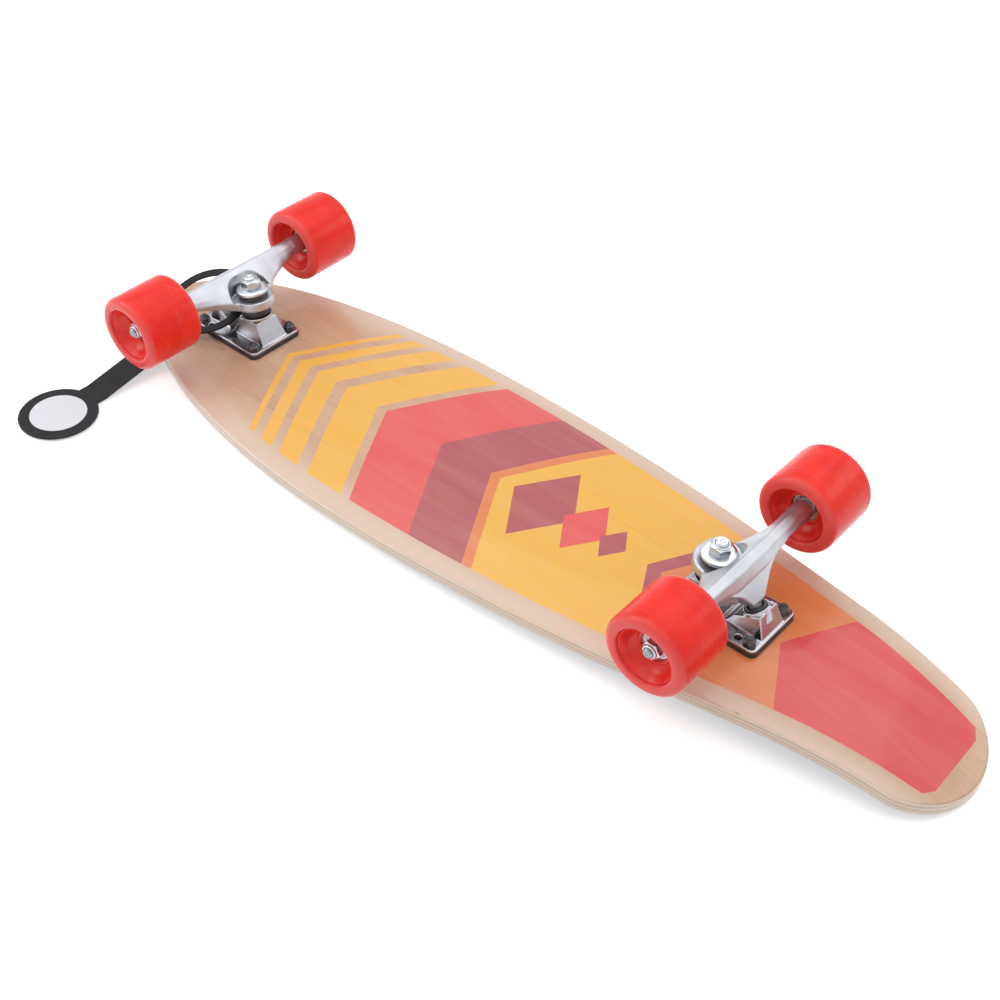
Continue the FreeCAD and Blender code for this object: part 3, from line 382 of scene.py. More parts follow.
def grit_tape():
    """Black grip tape: sharp grains in a dark binder, some of them glinting."""
    made, tree, shader = material("grit_tape", Specular_IOR_Level=0.4)
    place = tree.position()
    grain = tree.node("ShaderNodeTexVoronoi", {"Vector": place, "Scale": 1500.0, "Randomness": 1.0}).outputs
    clumps = tree.noise(place, 160.0, 4.0)
    worn = tree.between(tree.noise(place, 9.0, 4.0), 0.45, 0.7)
    tone = tree.bands(grain["Distance"], [(0.0, colour(0.06, 0.06, 0.062)),
                                          (0.45, colour(0.022, 0.022, 0.023)),
                                          (0.9, colour(0.008, 0.008, 0.008))], smooth=True).outputs[0]
    chance = tree.node("ShaderNodeSeparateColor", {0: grain["Color"]}).outputs[0]
    glint = tree.between(chance, 0.93, 0.97)
    tone = tree.mix(tree.math("MULTIPLY", glint, 0.5), tone, colour(0.32, 0.32, 0.34))
    tone = tree.mix(tree.math("MULTIPLY", worn, 0.35), tone, colour(0.07, 0.068, 0.065))
    tree.feed(shader.inputs["Base Color"], tone)
    tree.feed(shader.inputs["Roughness"], tree.between(glint, 0.0, 1.0, 0.85, 0.3))
    height = tree.math("SUBTRACT", tree.math("MULTIPLY", clumps, 0.5), grain["Distance"])
    bump(tree, shader, height, distance=0.0004)
    return made


def cast_metal(name, tone, dull, low, high, relief, metallic=1.0):
    """Bright cast aluminium, from satin to nearly polished."""
    made, tree, shader = material(name, Metallic=metallic)
    skin = placed(tree, CAST, Grain=1.0)
    tree.feed(shader.inputs["Base Color"], tree.mix(skin["Shade"], tone, dull))
    scuffs = scuffed(tree, shader, 1.0, low, high)
    height = tree.math("ADD", skin["Height"], tree.math("MULTIPLY", scuffs, 0.3))
    bump(tree, shader, height, distance=relief)
    return made


def zinc_plate():
    """Bright zinc on steel, faintly blue and yellow in patches."""
    made, tree, shader = material("zinc_plate", Metallic=1.0)
    tint = tree.noise(tree.position(), 130.0, 3.0)
    shade = tree.bands(tint, [(0.3, colour(0.50, 0.56, 0.61)), (0.5, colour(0.57, 0.60, 0.63)),
                              (0.72, colour(0.58, 0.58, 0.54))], smooth=True).outputs[0]
    tree.feed(shader.inputs["Base Color"], shade)
    bump(tree, shader, scuffed(tree, shader, 2.0, 0.22, 0.38), distance=0.00002)
    return made


def ground_steel(name, tone, low, high):
    """Hard ground steel of the bearings and axles."""
    made, tree, shader = material(name, Metallic=1.0)
    grease = tree.between(tree.noise(tree.position(), 260.0, 4.0), 0.45, 0.7, 0.0, 0.3)
    tree.feed(shader.inputs["Base Color"], tree.mix(grease, tone, colour(0.3, 0.29, 0.27)))
    bump(tree, shader, scuffed(tree, shader, 3.0, low, high), distance=0.00001)
    return made


def black_steel():
    """Black oxide on the bolts and nuts, rubbed bright along the edges."""
    made, tree, shader = material("black_steel", Specular_IOR_Level=0.9)
    worn = placed(tree, EDGES, Reach=0.0007)["Mask"]
    bright = tree.math("MULTIPLY", worn, 0.8)
    stain = tree.noise(tree.position(), 300.0, 4.0)
    tone = tree.mix(tree.between(stain, 0.35, 0.7), colour(0.006, 0.006, 0.007),
                    colour(0.015, 0.0145, 0.0145))
    tree.feed(shader.inputs["Base Color"], tree.mix(bright, tone, colour(0.46, 0.46, 0.47)))
    tree.feed(shader.inputs["Metallic"], bright)
    bump(tree, shader, scuffed(tree, shader, 2.0, 0.16, 0.32), distance=0.00002)
    return made


def moulded_black(name, tone, low, high, relief):
    """Black moulded plastic or cast urethane."""
    made, tree, shader = material(name, Specular_IOR_Level=0.5)
    skin = placed(tree, CAST, Grain=1.6)
    pale = tree.math("MULTIPLY", skin["Shade"], 0.6)
    tree.feed(shader.inputs["Base Color"], tree.mix(pale, tone, colour(0.05, 0.05, 0.052)))
    scuffed(tree, shader, 1.5, low, high)
    bump(tree, shader, skin["Height"], distance=relief)
    return made


def red_urethane():
    """Cast red urethane: glossy, paler pink at the lips and in faint streaks, with flow marks."""
    made, tree, shader = material("red_urethane", Specular_IOR_Level=0.22, Coat_Weight=0.08,
                                  Coat_Roughness=0.1)
    place = tree.position()
    across = tree.math("ABSOLUTE", tree.node("ShaderNodeSeparateXYZ", {0: place}).outputs["Y"])
    from_middle = tree.math("ABSOLUTE", tree.math("SUBTRACT", across, WHEEL_OFFSET * MM))
    # Paler pink towards both lips and in long streaks over the tread
    pale_lips = tree.between(from_middle, 0.0205, 0.0262)
    streaks = tree.noise(tree.stretched(place, (60.0, 260.0, 60.0)), 1.0, 5.0, 0.65, 1.2)
    pale_streaks = tree.between(streaks, 0.48, 0.72)
    haze = tree.math("ADD", tree.math("MULTIPLY", pale_lips, 0.42), tree.math("MULTIPLY", pale_streaks, 0.15), clamp=True)
    depth = tree.mix(tree.between(tree.noise(place, 40.0, 3.0), 0.35, 0.65), colour(0.90, 0.022, 0.010),
                     colour(0.80, 0.016, 0.008))
    tree.feed(shader.inputs["Base Color"], tree.mix(haze, depth, colour(0.84, 0.17, 0.16)))
    scuffs = scuffed(tree, shader, 0.8, 0.2, 0.4)
    relief = tree.math("ADD", tree.math("MULTIPLY", streaks, 0.6), tree.math("MULTIPLY", scuffs, 0.1))
    bump(tree, shader, relief, distance=0.00008)
    return made


def red_core():
    """Moulded red hub with faint flow lines."""
    made, tree, shader = material("red_core", Specular_IOR_Level=0.35, Coat_Weight=0.1, Coat_Roughness=0.15)
    flow = tree.noise(tree.position(), 70.0, 4.0, 0.6, 1.5)
    tone = tree.mix(tree.between(flow, 0.35, 0.7), colour(0.90, 0.030, 0.016), colour(0.76, 0.020, 0.012))
    tree.feed(shader.inputs["Base Color"], tone)
    scuffed(tree, shader, 1.5, 0.24, 0.4)
    bump(tree, shader, flow, distance=0.00004)
    return made


def tag_card():
    """Matt black plastic sheet with a fine embossed grain and rubbed edges."""
    made, tree, shader = material("tag_card", Specular_IOR_Level=0.2)
    worn = placed(tree, EDGES, Reach=0.0006)["Mask"]
    skin = placed(tree, CAST, Grain=2.2)
    tone = tree.mix(skin["Shade"], colour(0.012, 0.012, 0.014), colour(0.018, 0.018, 0.021))
    tone = tree.mix(tree.math("MULTIPLY", worn, 0.5), tone, colour(0.12, 0.12, 0.125))
    tree.feed(shader.inputs["Base Color"], tone)
    scuffed(tree, shader, 0.8, 0.4, 0.6)
    bump(tree, shader, skin["Height"], distance=0.00004)
    return made


def label_paper():
    """Blank coated paper."""
    made, tree, shader = material("label_paper", Coat_Weight=0.1, Coat_Roughness=0.2)
    across = tree.stretched(tree.position(), (1.0, 0.35, 1.0), (0, 0, 0.6))
    fibres = tree.noise(across, 1500.0, 4.0, 0.65)
    tone = tree.mix(tree.between(fibres, 0.35, 0.65), colour(0.74, 0.76, 0.80), colour(0.69, 0.705, 0.745))
    tree.feed(shader.inputs["Base Color"], tone)
    scuffed(tree, shader, 0.8, 0.4, 0.55)
    bump(tree, shader, fibres, distance=0.00003)
    return made


MAPLE = lacquered_maple()
GRIT = grit_tape()
HANGER_METAL = cast_metal("hanger_metal", colour(0.55, 0.565, 0.605), colour(0.47, 0.485, 0.525),
                          low=0.32, high=0.46, relief=0.00005, metallic=0.86)
PLATE_METAL = cast_metal("plate_metal", colour(0.50, 0.49, 0.52), colour(0.41, 0.41, 0.44),
                         low=0.16, high=0.3, relief=0.00003)
ZINC = zinc_plate()
RACE_STEEL = ground_steel("race_steel", colour(0.74, 0.74, 0.75), low=0.08, high=0.2)
SHIELD_STEEL = ground_steel("shield_steel", colour(0.60, 0.60, 0.61), low=0.2, high=0.34)
AXLE_STEEL = ground_steel("axle_steel", colour(0.30, 0.31, 0.34), low=0.2, high=0.34)
BLACK_STEEL = black_steel()
BUSHING = moulded_black("bushing_urethane", colour(0.016, 0.016, 0.017), low=0.28, high=0.45, relief=0.00003)
RISER = moulded_black("riser_plastic", colour(0.020, 0.020, 0.021), low=0.4, high=0.6, relief=0.00008)
URETHANE = red_urethane()
CORE = red_core()
TAG = tag_card()
LABEL = label_paper()


# Places on a truck, whose X points to its end of the board and Z up from the deck's underside

KINGPIN_FOOT = (-17.0, 0, 23.0)
KINGPIN_TILT = 7.0
PIVOT_MIDDLE = (23.5, 0, 15.0)
PIVOT_TILT = -28.0
AXLE_AHEAD = 6.8
AXLE_HEIGHT = 52.0
BOLT_ALONG = 31.75
BOLT_ACROSS = 20.64


def truck_place(end):
    if end == "rear":
        return Matrix.Translation((WHEELBASE / 2, 0, DECK_TOP))
    return Matrix.Translation((-WHEELBASE / 2, 0, DECK_TOP)) @ Matrix.Rotation(math.pi, 4, "Z")


def kingpin_place(end, height=0.0):
    """Frame at a height along a kingpin, with Z along the pin."""
    tilt = Matrix.Rotation(math.radians(KINGPIN_TILT), 4, "Y")
    return truck_place(end) @ Matrix.Translation(KINGPIN_FOOT) @ tilt @ Matrix.Translation((0, 0, height))


def pivot_place(end):
    return (truck_place(end) @ Matrix.Translation(PIVOT_MIDDLE)
            @ Matrix.Rotation(math.radians(PIVOT_TILT), 4, "Y"))


def wheel_place(end, side, height=0.0):
    """Frame of a wheel: origin at a height from its middle, Z out along the axle."""
    outward = SIDES[side] if end == "rear" else -SIDES[side]
    return (truck_place(end) @ Matrix.Translation((AXLE_AHEAD, WHEEL_OFFSET * outward, AXLE_HEIGHT))
            @ Matrix.Rotation(-math.pi / 2 * outward, 4, "X") @ Matrix.Translation((0, 0, height)))


def bolt_places(end, height):
    return [truck_place(end) @ Matrix.Translation((along, across, height))
            for along in (BOLT_ALONG, -BOLT_ALONG) for across in (BOLT_ACROSS, -BOLT_ACROSS)]


# Shapes, each a bmesh in millimetres

MERGE_DISTANCE = 0.0005
SHARP_ANGLE = 35.0
ALL_SMOOTH = 180.0
# Steps round a turned shape: usual ones, small ones and the largest
TURN_STEPS = 96
SMALL_STEPS = 48
TYRE_STEPS = 128


def lathe(profile, steps=TURN_STEPS):
    """A closed outline of (radius, height) points turned about Z. A third number rounds that corner."""
    shape = bmesh.new()
    points = [shape.verts.new((point[0], 0, point[1])) for point in profile]
    count = len(points)
    for index in range(count):
        shape.edges.new((points[index], points[(index + 1) % count]))
    for vertex, point in zip(points, profile):
        if len(point) > 2:
            rounding = point[2]
            bmesh.ops.bevel(shape, geom=[vertex], offset=rounding, segments=4 if rounding < 2 else 8,
                            profile=0.5, affect="VERTICES", material=-1)
    bmesh.ops.spin(shape, geom=shape.verts[:] + shape.edges[:], cent=(0, 0, 0), axis=(0, 0, 1),
                   angle=2 * math.pi, steps=steps, use_merge=True)
    bmesh.ops.remove_doubles(shape, verts=shape.verts, dist=MERGE_DISTANCE)
    bmesh.ops.dissolve_degenerate(shape, edges=shape.edges, dist=MERGE_DISTANCE)
    bmesh.ops.delete(shape, geom=[edge for edge in shape.edges if edge.is_wire], context="EDGES")
    bmesh.ops.recalc_face_normals(shape, faces=shape.faces)
    return shape


def prism(flats, height):
    """A hexagonal bar standing on Z, with two corners along X."""
    shape = bmesh.new()
    radius = flats / math.sqrt(3)
    standing = Matrix.Translation((0, 0, height / 2)) @ Matrix.Rotation(math.pi / 2, 4, "Z")
    bmesh.ops.create_cone(shape, cap_ends=True, segments=6, radius1=radius, radius2=radius, depth=height,
                          matrix=standing)
    return shape


def mesh_object(name, shape):
    data = bpy.data.meshes.new(name)
    shape.to_mesh(data)
    shape.free()
    made = bpy.data.objects.new(name, data)
    scene.collection.objects.link(made)
    return made


def carved(shape, tool, operation):
    """One closed shape cut by another, or kept inside it."""
    base = mesh_object("base", shape)
    cutter = mesh_object("cutter", tool)
    modifier = base.modifiers.new("carve", "BOOLEAN")
    modifier.operation = operation
    modifier.object = cutter
    modifier.solver = "EXACT"
    result = bmesh.new()
    result.from_object(base, bpy.context.evaluated_depsgraph_get())
    for thing in (base, cutter):
        data = thing.data
        bpy.data.objects.remove(thing)
        bpy.data.meshes.remove(data)
    bmesh.ops.remove_doubles(result, verts=result.verts, dist=MERGE_DISTANCE)
    return result


def hex_nut(flats, profile):
    """A nut: a turned body with its chamfers, bore and collar, milled to a hexagon."""
    tallest = max(point[1] for point in profile)
    return carved(lathe(profile, SMALL_STEPS), prism(flats, tallest + 1.0), "INTERSECT")


def plain_bar(radius, foot, top):
    """Outline of a round bar."""
    return [(0, foot), (radius, foot), (radius, top), (0, top)]


def threaded_bar(radius, foot, top, pitch, chamfer):
    """Outline of a bar with a screw thread, drawn as rings, below its chamfered and dimpled end."""
    turns = int((top - chamfer - foot) / pitch)
    outline = [(0, foot), (radius, foot)]
    for turn in range(turns):
        start = foot + turn * pitch
        outline += [(radius, start + pitch * 0.15), (radius - pitch * 0.45, start + pitch * 0.5),
                    (radius, start + pitch * 0.85)]
    outline += [(radius, top - chamfer), (radius - chamfer, top)]
    return outline + [(radius * 0.42, top), (0, top - radius * 0.4)]


def piece(name, shapes, finish, body, replaced):
    """Joins placed shapes into one object on a body, with its finish. Shapes are (bmesh, place) pairs."""
    joined = bmesh.new()
    for shape, place in shapes:
        part = bpy.data.meshes.new("part")
        shape.to_mesh(part)
        part.transform(Matrix.Scale(MM, 4) @ place)
        joined.from_mesh(part)
        bpy.data.meshes.remove(part)
    finished(mesh_object(name, joined), finish, body, replaced)


def finished(made, finish, body, replaced, sharp=SHARP_ANGLE):
    """Gives an object its finish and attaches it to its body; when given two bodies and two places instead,
    it only bakes the object's place into its mesh.
    """
    made.data.materials.clear()
    made.data.materials.append(finish)
    made.data.shade_smooth()
    made.data.set_sharp_from_angle(angle=math.radians(sharp))
    if isinstance(body, str):
        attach(made, body)
    else:
        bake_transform(made)
    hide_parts(*replaced)


def free(shapes):
    for shape in shapes:
        shape.free()


# Wheels

TYRE = [(22.0, -23.4), (22.0, 23.4), (22.5, 25.7, 0.4), (23.6, 26.5, 0.6), (31.99, 26.5, 5.0), (31.99, 0.5),
        (31.99, -0.5), (31.99, -26.5, 5.0), (23.6, -26.5, 0.6), (22.5, -25.7, 0.4)]
HUB = [(8.6, -5.0), (11.0, -5.0), (11.0, -14.5, 0.3), (13.2, -14.5, 0.5), (13.8, -13.6, 0.5),
       (17.4, -16.6, 2.5), (21.2, -24.2, 0.5), (22.0, -23.4), (22.0, 23.4), (21.2, 24.2, 0.5),
       (17.4, 16.6, 2.5), (13.8, 13.6, 0.5), (13.2, 14.5, 0.5), (11.0, 14.5, 0.3), (11.0, 5.0), (8.6, 5.0)]
OUTER_RACE = [(9.3, 5.0), (11.0, 5.0, 0.35), (11.0, 12.0, 0.45), (9.3, 12.0, 0.15)]
INNER_RACE = [(4.0, 5.0), (6.2, 5.0, 0.15), (6.2, 12.0, 0.15), (4.0, 12.0, 0.3)]
SHIELD = [(6.45, 11.45), (9.3, 11.45), (9.3, 11.75), (8.7, 11.75, 0.1), (8.5, 11.5, 0.1), (7.2, 11.5, 0.1),
          (7.0, 11.72, 0.1), (6.45, 11.72)]
SPACER = [(4.0, -5.0), (5.1, -5.0, 0.15), (5.1, 5.0, 0.15), (4.0, 5.0)]
MIRROR = Matrix.Rotation(math.pi, 4, "X")


def make_wheel(end, side):
    name = f"{end}_{side}_wheel"
    truck = f"{end}_truck"
    place = wheel_place(end, side)
    both = (place, place @ MIRROR)
    shapes = [lathe(TYRE, TYRE_STEPS), lathe(HUB), lathe(OUTER_RACE), lathe(INNER_RACE), lathe(SHIELD),
              lathe(SPACER, SMALL_STEPS)]
    tyre, hub, outer, inner, shield, spacer = shapes
    piece(f"{name}_cast_tyre", [(tyre, place)], URETHANE, name, [f"{name}_tyre"])
    piece(f"{name}_hub", [(hub, place)], CORE, name, [f"{name}_core"])
    piece(f"{name}_outer_rings", [(outer, spot) for spot in both], RACE_STEEL, name,
          [f"{name}_bearing_outer_races"])
    piece(f"{name}_inner_rings", [(inner, spot) for spot in both], RACE_STEEL, truck,
          [f"{name}_bearing_inner_races"])
    piece(f"{name}_dust_shields", [(shield, spot) for spot in both], SHIELD_STEEL, name,
          [f"{name}_bearing_shields"])
    piece(f"{name}_spacer_tube", [(spacer, place)], ZINC, truck, [f"{name}_bearing_spacer"])
    free(shapes)


# Axles and their nuts

AXLE_NUT = [(3.97, 0.4), (4.4, 0), (6.2, 0), (7.4, 1.0), (7.4, 4.4), (6.1, 5.2), (5.7, 5.3, 0.1),
            (5.7, 6.4, 0.4), (5.0, 7.1, 0.3), (4.2, 7.1, 0.1), (3.97, 6.7)]
AXLE_NUT_FLATS = 12.7
WASHER_THICKNESS = 0.8
AXLE_WASHER = [(4.0, 0), (6.0, 0, 0.15), (6.0, WASHER_THICKNESS, 0.25), (4.0, WASHER_THICKNESS, 0.1)]
# The axle from its middle: the plain shank, then the thread to its end
AXLE_RADIUS = 3.97
AXLE_SHANK = 88.0
AXLE_THREAD_RADIUS = 3.95
AXLE_REACH = 110.5
AXLE_CHAMFER = 0.8
FINE_PITCH = 1.06
# Outer face of a wheel's bearings from the wheel's middle
BEARING_FACE = 12.0


def make_axle(end):
    truck = f"{end}_truck"
    nut = hex_nut(AXLE_NUT_FLATS, AXLE_NUT)
    washer = lathe(AXLE_WASHER, SMALL_STEPS)
    shank = lathe(plain_bar(AXLE_RADIUS, -AXLE_SHANK, AXLE_SHANK), SMALL_STEPS)
    thread = lathe(threaded_bar(AXLE_THREAD_RADIUS, AXLE_SHANK, AXLE_REACH, FINE_PITCH, AXLE_CHAMFER),
                   SMALL_STEPS)
    middle = (truck_place(end) @ Matrix.Translation((AXLE_AHEAD, 0, AXLE_HEIGHT))
              @ Matrix.Rotation(-math.pi / 2, 4, "X"))
    piece(f"{end}_axle_bar", [(shank, middle), (thread, middle), (thread, middle @ MIRROR)], AXLE_STEEL,
          truck, [f"{end}_axle"])
    nut_spots = [wheel_place(end, side, BEARING_FACE + WASHER_THICKNESS) for side in SIDES]
    piece(f"{end}_axle_lock_nuts", [(nut, spot) for spot in nut_spots], ZINC, truck,
          [f"{end}_axle_nuts"])
    washer_spots = [wheel_place(end, side, height) for side in SIDES
                    for height in (-BEARING_FACE - WASHER_THICKNESS, BEARING_FACE)]
    piece(f"{end}_speed_washers", [(washer, spot) for spot in washer_spots], ZINC, truck,
          [f"{end}_axle_washers"])
    free((nut, washer, shank, thread))


# Kingpins, bushings and pivots

KINGPIN_NUT = [(4.76, 0.5), (5.4, 0), (7.0, 0), (8.3, 1.2), (8.3, 6.2), (6.9, 7.2), (6.5, 7.4, 0.2),
               (6.3, 8.2, 0.3), (5.2, 8.2, 0.2), (4.76, 7.6)]
# The bushings' bores flare towards the yoke, to clear the kingpin when the yoke leans
LOWER_BUSHING = [(4.96, 0), (10.8, 0, 0.8), (12.2, 5.25, 2.0), (10.8, 10.5, 0.8), (9.4, 10.5), (9.4, 13.5),
                 (6.4, 13.5)]
UPPER_BUSHING = [(6.4, -3.0), (9.4, -3.0), (9.4, 0), (12.4, 0, 0.8), (12.0, 3.0, 1.2), (11.0, 6.6, 0.7),
                 (4.96, 6.6)]
LOWER_WASHER = [(4.96, 0), (11.6, 0, 0.8), (13.3, 1.2, 0.6), (13.3, 3.4, 0.3), (12.2, 3.4, 0.3),
                (12.2, 1.6, 0.5), (4.96, 1.6)]
UPPER_WASHER = [(4.96, 1.6), (10.6, 1.6, 0.8), (13.5, 0.5, 0.6), (13.5, -1.8, 0.3), (12.4, -1.8, 0.3),
                (12.4, 0, 0.5), (4.96, 0)]
PIVOT_CUP = [(0, -8.1), (8.1, -8.1, 8.0), (8.1, 5.4), (8.5, 5.4, 0.1), (8.5, 6.6, 0.4), (6.6, 6.6, 0.5),
             (6.1, 6.1), (6.1, -6.1, 6.0), (0, -6.1)]
KINGPIN_FLATS = 14.3
KINGPIN_RADIUS = 4.76
KINGPIN_THREAD_RADIUS = 4.72
KINGPIN_CHAMFER = 0.9
HEAD_HEIGHT = 5.6
# Places along the kingpin, from its head to its end
HEAD_FOOT = -12.2
SHANK_FOOT = -6.6
LOWER_BUSHING_SEAT = 1.6
LOWER_CUP_RIM = 3.4
YOKE_BOTTOM = 12.1
SHANK_TOP = 20.0
YOKE_TOP = 20.1
UPPER_CUP_RIM = 24.9
UPPER_WASHER_SEAT = 26.7
KINGPIN_NUT_SEAT = 28.3
KINGPIN_END = 38.5


def make_kingpin(end):
    truck = f"{end}_truck"
    foot = kingpin_place(end)
    nut = hex_nut(KINGPIN_FLATS, KINGPIN_NUT)
    head = prism(KINGPIN_FLATS, HEAD_HEIGHT)
    shank = lathe(plain_bar(KINGPIN_RADIUS, SHANK_FOOT, SHANK_TOP), SMALL_STEPS)
    thread = lathe(threaded_bar(KINGPIN_THREAD_RADIUS, SHANK_TOP, KINGPIN_END, FINE_PITCH, KINGPIN_CHAMFER),
                   SMALL_STEPS)
    turned = [lathe(profile) for profile in (LOWER_BUSHING, UPPER_BUSHING, LOWER_WASHER, UPPER_WASHER,
                                             PIVOT_CUP)]
    lower, upper, low_washer, high_washer, cup = turned
    piece(f"{end}_kingpin_bolt", [(thread, foot), (shank, foot), (head, kingpin_place(end, HEAD_FOOT))],
          ZINC, "board", [f"{end}_kingpin"])
    piece(f"{end}_kingpin_lock_nut", [(nut, kingpin_place(end, KINGPIN_NUT_SEAT))], ZINC, "board",
          [f"{end}_kingpin_nut"])
    piece(f"{end}_cupped_washers", [(low_washer, foot), (high_washer, kingpin_place(end, UPPER_WASHER_SEAT))],
          ZINC, "board", [f"{end}_cup_washers"])
    lower_cup, yoke_bottom, yoke_top, upper_cup = [
        kingpin_place(end, height).translation * MM
        for height in (LOWER_CUP_RIM, YOKE_BOTTOM, YOKE_TOP, UPPER_CUP_RIM)]
    piece(f"{end}_barrel_bushing", [(lower, kingpin_place(end, LOWER_BUSHING_SEAT))], BUSHING,
          ("board", truck, lower_cup, yoke_bottom), [f"{end}_lower_bushing"])
    piece(f"{end}_cone_bushing", [(upper, kingpin_place(end, YOKE_TOP))], BUSHING,
          (truck, "board", yoke_top, upper_cup), [f"{end}_upper_bushing"])
    piece(f"{end}_pivot_bush", [(cup, pivot_place(end))], BUSHING, "board",
          [f"{end}_pivot_cup"])
    free([nut, head, shank, thread] + turned)


# Deck fasteners

DECK_NUT = [(2.4, 0.3), (2.8, 0), (4.1, 0), (5.05, 0.7), (5.05, 3.2), (4.2, 3.8), (3.9, 4.0, 0.1),
            (3.8, 4.7, 0.4), (3.2, 5.2, 0.3), (2.6, 5.2, 0.1), (2.4, 4.9)]
DECK_NUT_FLATS = 8.7
DECK_NUT_SEAT = 6.0
# A deck bolt from the riding face: head and shank, then the thread to its end
DECK_THREAD_START = 17.8
DECK_BOLT = [(0, 0.3), (4.2, 0.3), (4.6, 0.5), (4.6, 0.8), (2.4, 3.4), (2.4, DECK_THREAD_START),
             (0, DECK_THREAD_START)]
DECK_THREAD_RADIUS = 2.36
DECK_BOLT_END = 24.4
DECK_PITCH = 0.8
DECK_CHAMFER = 0.5
DECK_THREAD_STEPS = 32
# The crossed slots in its head
SLOT_WIDTH = 1.1
SLOT_LENGTH = 5.0
SLOT_CUTTER_HEIGHT = 3.0


def make_deck_fasteners():
    nut = hex_nut(DECK_NUT_FLATS, DECK_NUT)
    head = lathe(DECK_BOLT, SMALL_STEPS)
    for wide, long in ((SLOT_WIDTH, SLOT_LENGTH), (SLOT_LENGTH, SLOT_WIDTH)):
        cutter = bmesh.new()
        bmesh.ops.create_cube(cutter, size=1.0, matrix=Matrix.Diagonal((wide, long, SLOT_CUTTER_HEIGHT, 1.0)))
        head = carved(head, cutter, "DIFFERENCE")
    tip = lathe(threaded_bar(DECK_THREAD_RADIUS, DECK_THREAD_START, DECK_BOLT_END, DECK_PITCH, DECK_CHAMFER),
                DECK_THREAD_STEPS)
    bolts = []
    nuts = []
    for end in ENDS:
        for spot in bolt_places(end, -DECK_TOP):
            bolts += [(head, spot), (tip, spot)]
        nuts += [(nut, spot) for spot in bolt_places(end, DECK_NUT_SEAT)]
    piece("deck_screws", bolts, BLACK_STEEL, "board", ["deck_bolts"])
    piece("deck_lock_nuts", nuts, BLACK_STEEL, "board", ["deck_nuts"])
    free((nut, head, tip))


# Castings

def make_casting(node, name, finish, body, voxel, rounds):
    """A casting with softened edges, drawn from its solid."""
    shape = bmesh.new()
    shape.from_mesh(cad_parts[node].data)
    bmesh.ops.remove_doubles(shape, verts=shape.verts, dist=1e-6)
    made = mesh_object(name, shape)
    remesh = made.modifiers.new("skin", "REMESH")
    remesh.mode = "VOXEL"
    remesh.voxel_size = voxel * MM
    remesh.use_smooth_shade = True
    smooth = made.modifiers.new("soften", "SMOOTH")
    smooth.factor = 0.5
    smooth.iterations = rounds
    finished(made, finish, body, [node], ALL_SMOOTH)


for end in ENDS:
    make_kingpin(end)
    make_axle(end)
    make_casting(f"{end}_hanger", f"{end}_cast_hanger", HANGER_METAL, f"{end}_truck", voxel=0.55, rounds=16)
    make_casting(f"{end}_baseplate", f"{end}_cast_baseplate", PLATE_METAL, "board", voxel=0.45, rounds=10)
    for side in SIDES:
        make_wheel(end, side)
make_deck_fasteners()


# Solids that keep their own shape

def dress(node, finish):
    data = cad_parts[node].data
    data.materials.clear()
    data.materials.append(finish)


for node, finish in (("deck", MAPLE), ("grip_tape", GRIT), ("front_riser_pad", RISER),
                     ("rear_riser_pad", RISER), ("hang_tag", TAG), ("tag_label", LABEL)):
    dress(node, finish)
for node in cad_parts:
    if node.endswith("bearing_balls"):
        dress(node, RACE_STEEL)


# Stage, camera and light, in metres

FLOOR_SIZE = 30.0
# The floor falls towards the tail, and passes under the riding face by a gap where the nose rests
FLOOR_SLOPE = 0.0295
FLOOR_GAP = 0.0009
NOSE_REST = -0.35
FLOOR_GLOW = 0.48


def seen_directly(tree):
    """1 where the camera, a reflection or a clear piece looks at a surface, 0 where it only lights others."""
    ray = tree.node("ShaderNodeLightPath").outputs
    looked = tree.math("MAXIMUM", ray["Is Camera Ray"], ray["Is Glossy Ray"])
    return tree.math("MAXIMUM", looked, ray["Is Transmission Ray"])


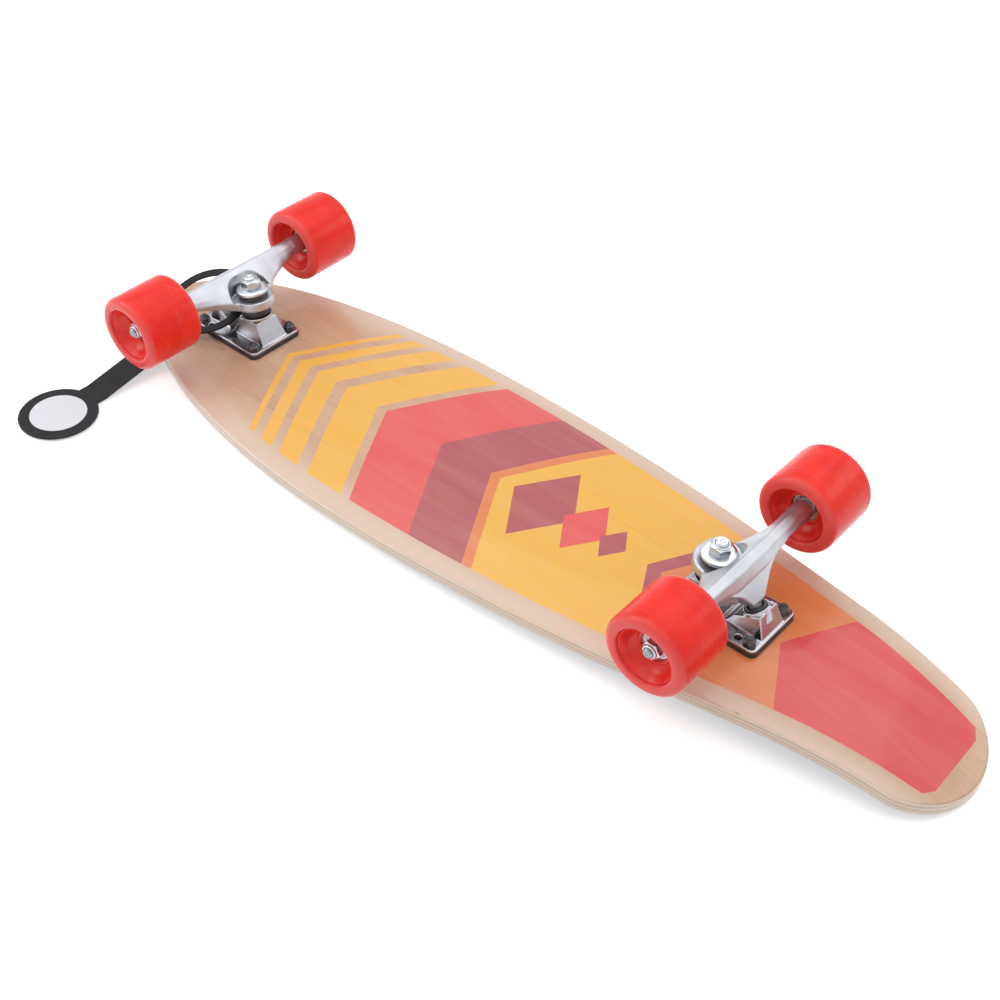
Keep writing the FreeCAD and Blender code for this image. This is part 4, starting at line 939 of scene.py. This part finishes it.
def make_floor():
    """A pale floor under the two ends that the board lies on."""
    shape = bmesh.new()
    bmesh.ops.create_grid(shape, x_segments=1, y_segments=1, size=FLOOR_SIZE)
    made = mesh_object("floor", shape)
    drop = Matrix.Translation((0, 0, NOSE_REST * FLOOR_SLOPE - FLOOR_GAP))
    made.data.transform(drop @ Matrix.Rotation(math.atan(FLOOR_SLOPE), 4, "Y"))
    finish, tree, shader = material("floor_paint", Roughness=0.9, Specular_IOR_Level=0.1)
    shader.inputs["Base Color"].default_value = colour(0.9, 0.9, 0.9)
    shader.inputs["Emission Color"].default_value = colour(1, 1, 1)
    tree.feed(shader.inputs["Emission Strength"], tree.math("MULTIPLY", seen_directly(tree), FLOOR_GLOW))
    made.data.materials.append(finish)


def make_light(name, place, aim, width, depth, power):
    data = bpy.data.lights.new(name, "AREA")
    data.shape = "RECTANGLE"
    data.size = width
    data.size_y = depth
    data.energy = power
    lamp = bpy.data.objects.new(name, data)
    lamp.location = place
    lamp.rotation_euler = (Vector(aim) - Vector(place)).to_track_quat("-Z", "Y").to_euler()
    scene.collection.objects.link(lamp)


def make_camera():
    data = bpy.data.cameras.new("camera")
    data.sensor_width = 36.0
    data.lens = 52.212
    data.shift_x = -0.0055
    data.shift_y = 0.009
    camera = bpy.data.objects.new("camera", data)
    camera.location = (0.5991, -0.6409, 0.7604)
    camera.rotation_euler = [math.radians(turn) for turn in (47.4096, -0.4592, 41.2062)]
    scene.collection.objects.link(camera)
    scene.camera = camera


make_floor()
make_camera()
make_light("overhead", (-0.1, 0.1, 1.6), aim=(0, 0, 0), width=2.6, depth=2.2, power=18)
make_light("side", (-1.3, -1.0, 1.0), aim=(0, 0, 0), width=0.9, depth=0.9, power=7)
make_light("far", (0.9, 1.3, 0.9), aim=(0.1, 0, 0), width=1.0, depth=0.6, power=3.2)

world = bpy.data.worlds.new("studio")
world.use_nodes = True
sky = Tree(world.node_tree)
background = world.node_tree.nodes["Background"]
sky_light = colour(0.55, 0.565, 0.58)
sky.feed(background.inputs["Color"], sky.mix(seen_directly(sky), sky_light, colour(1, 1, 1)))
scene.world = world
scene.view_settings.view_transform = "Standard"
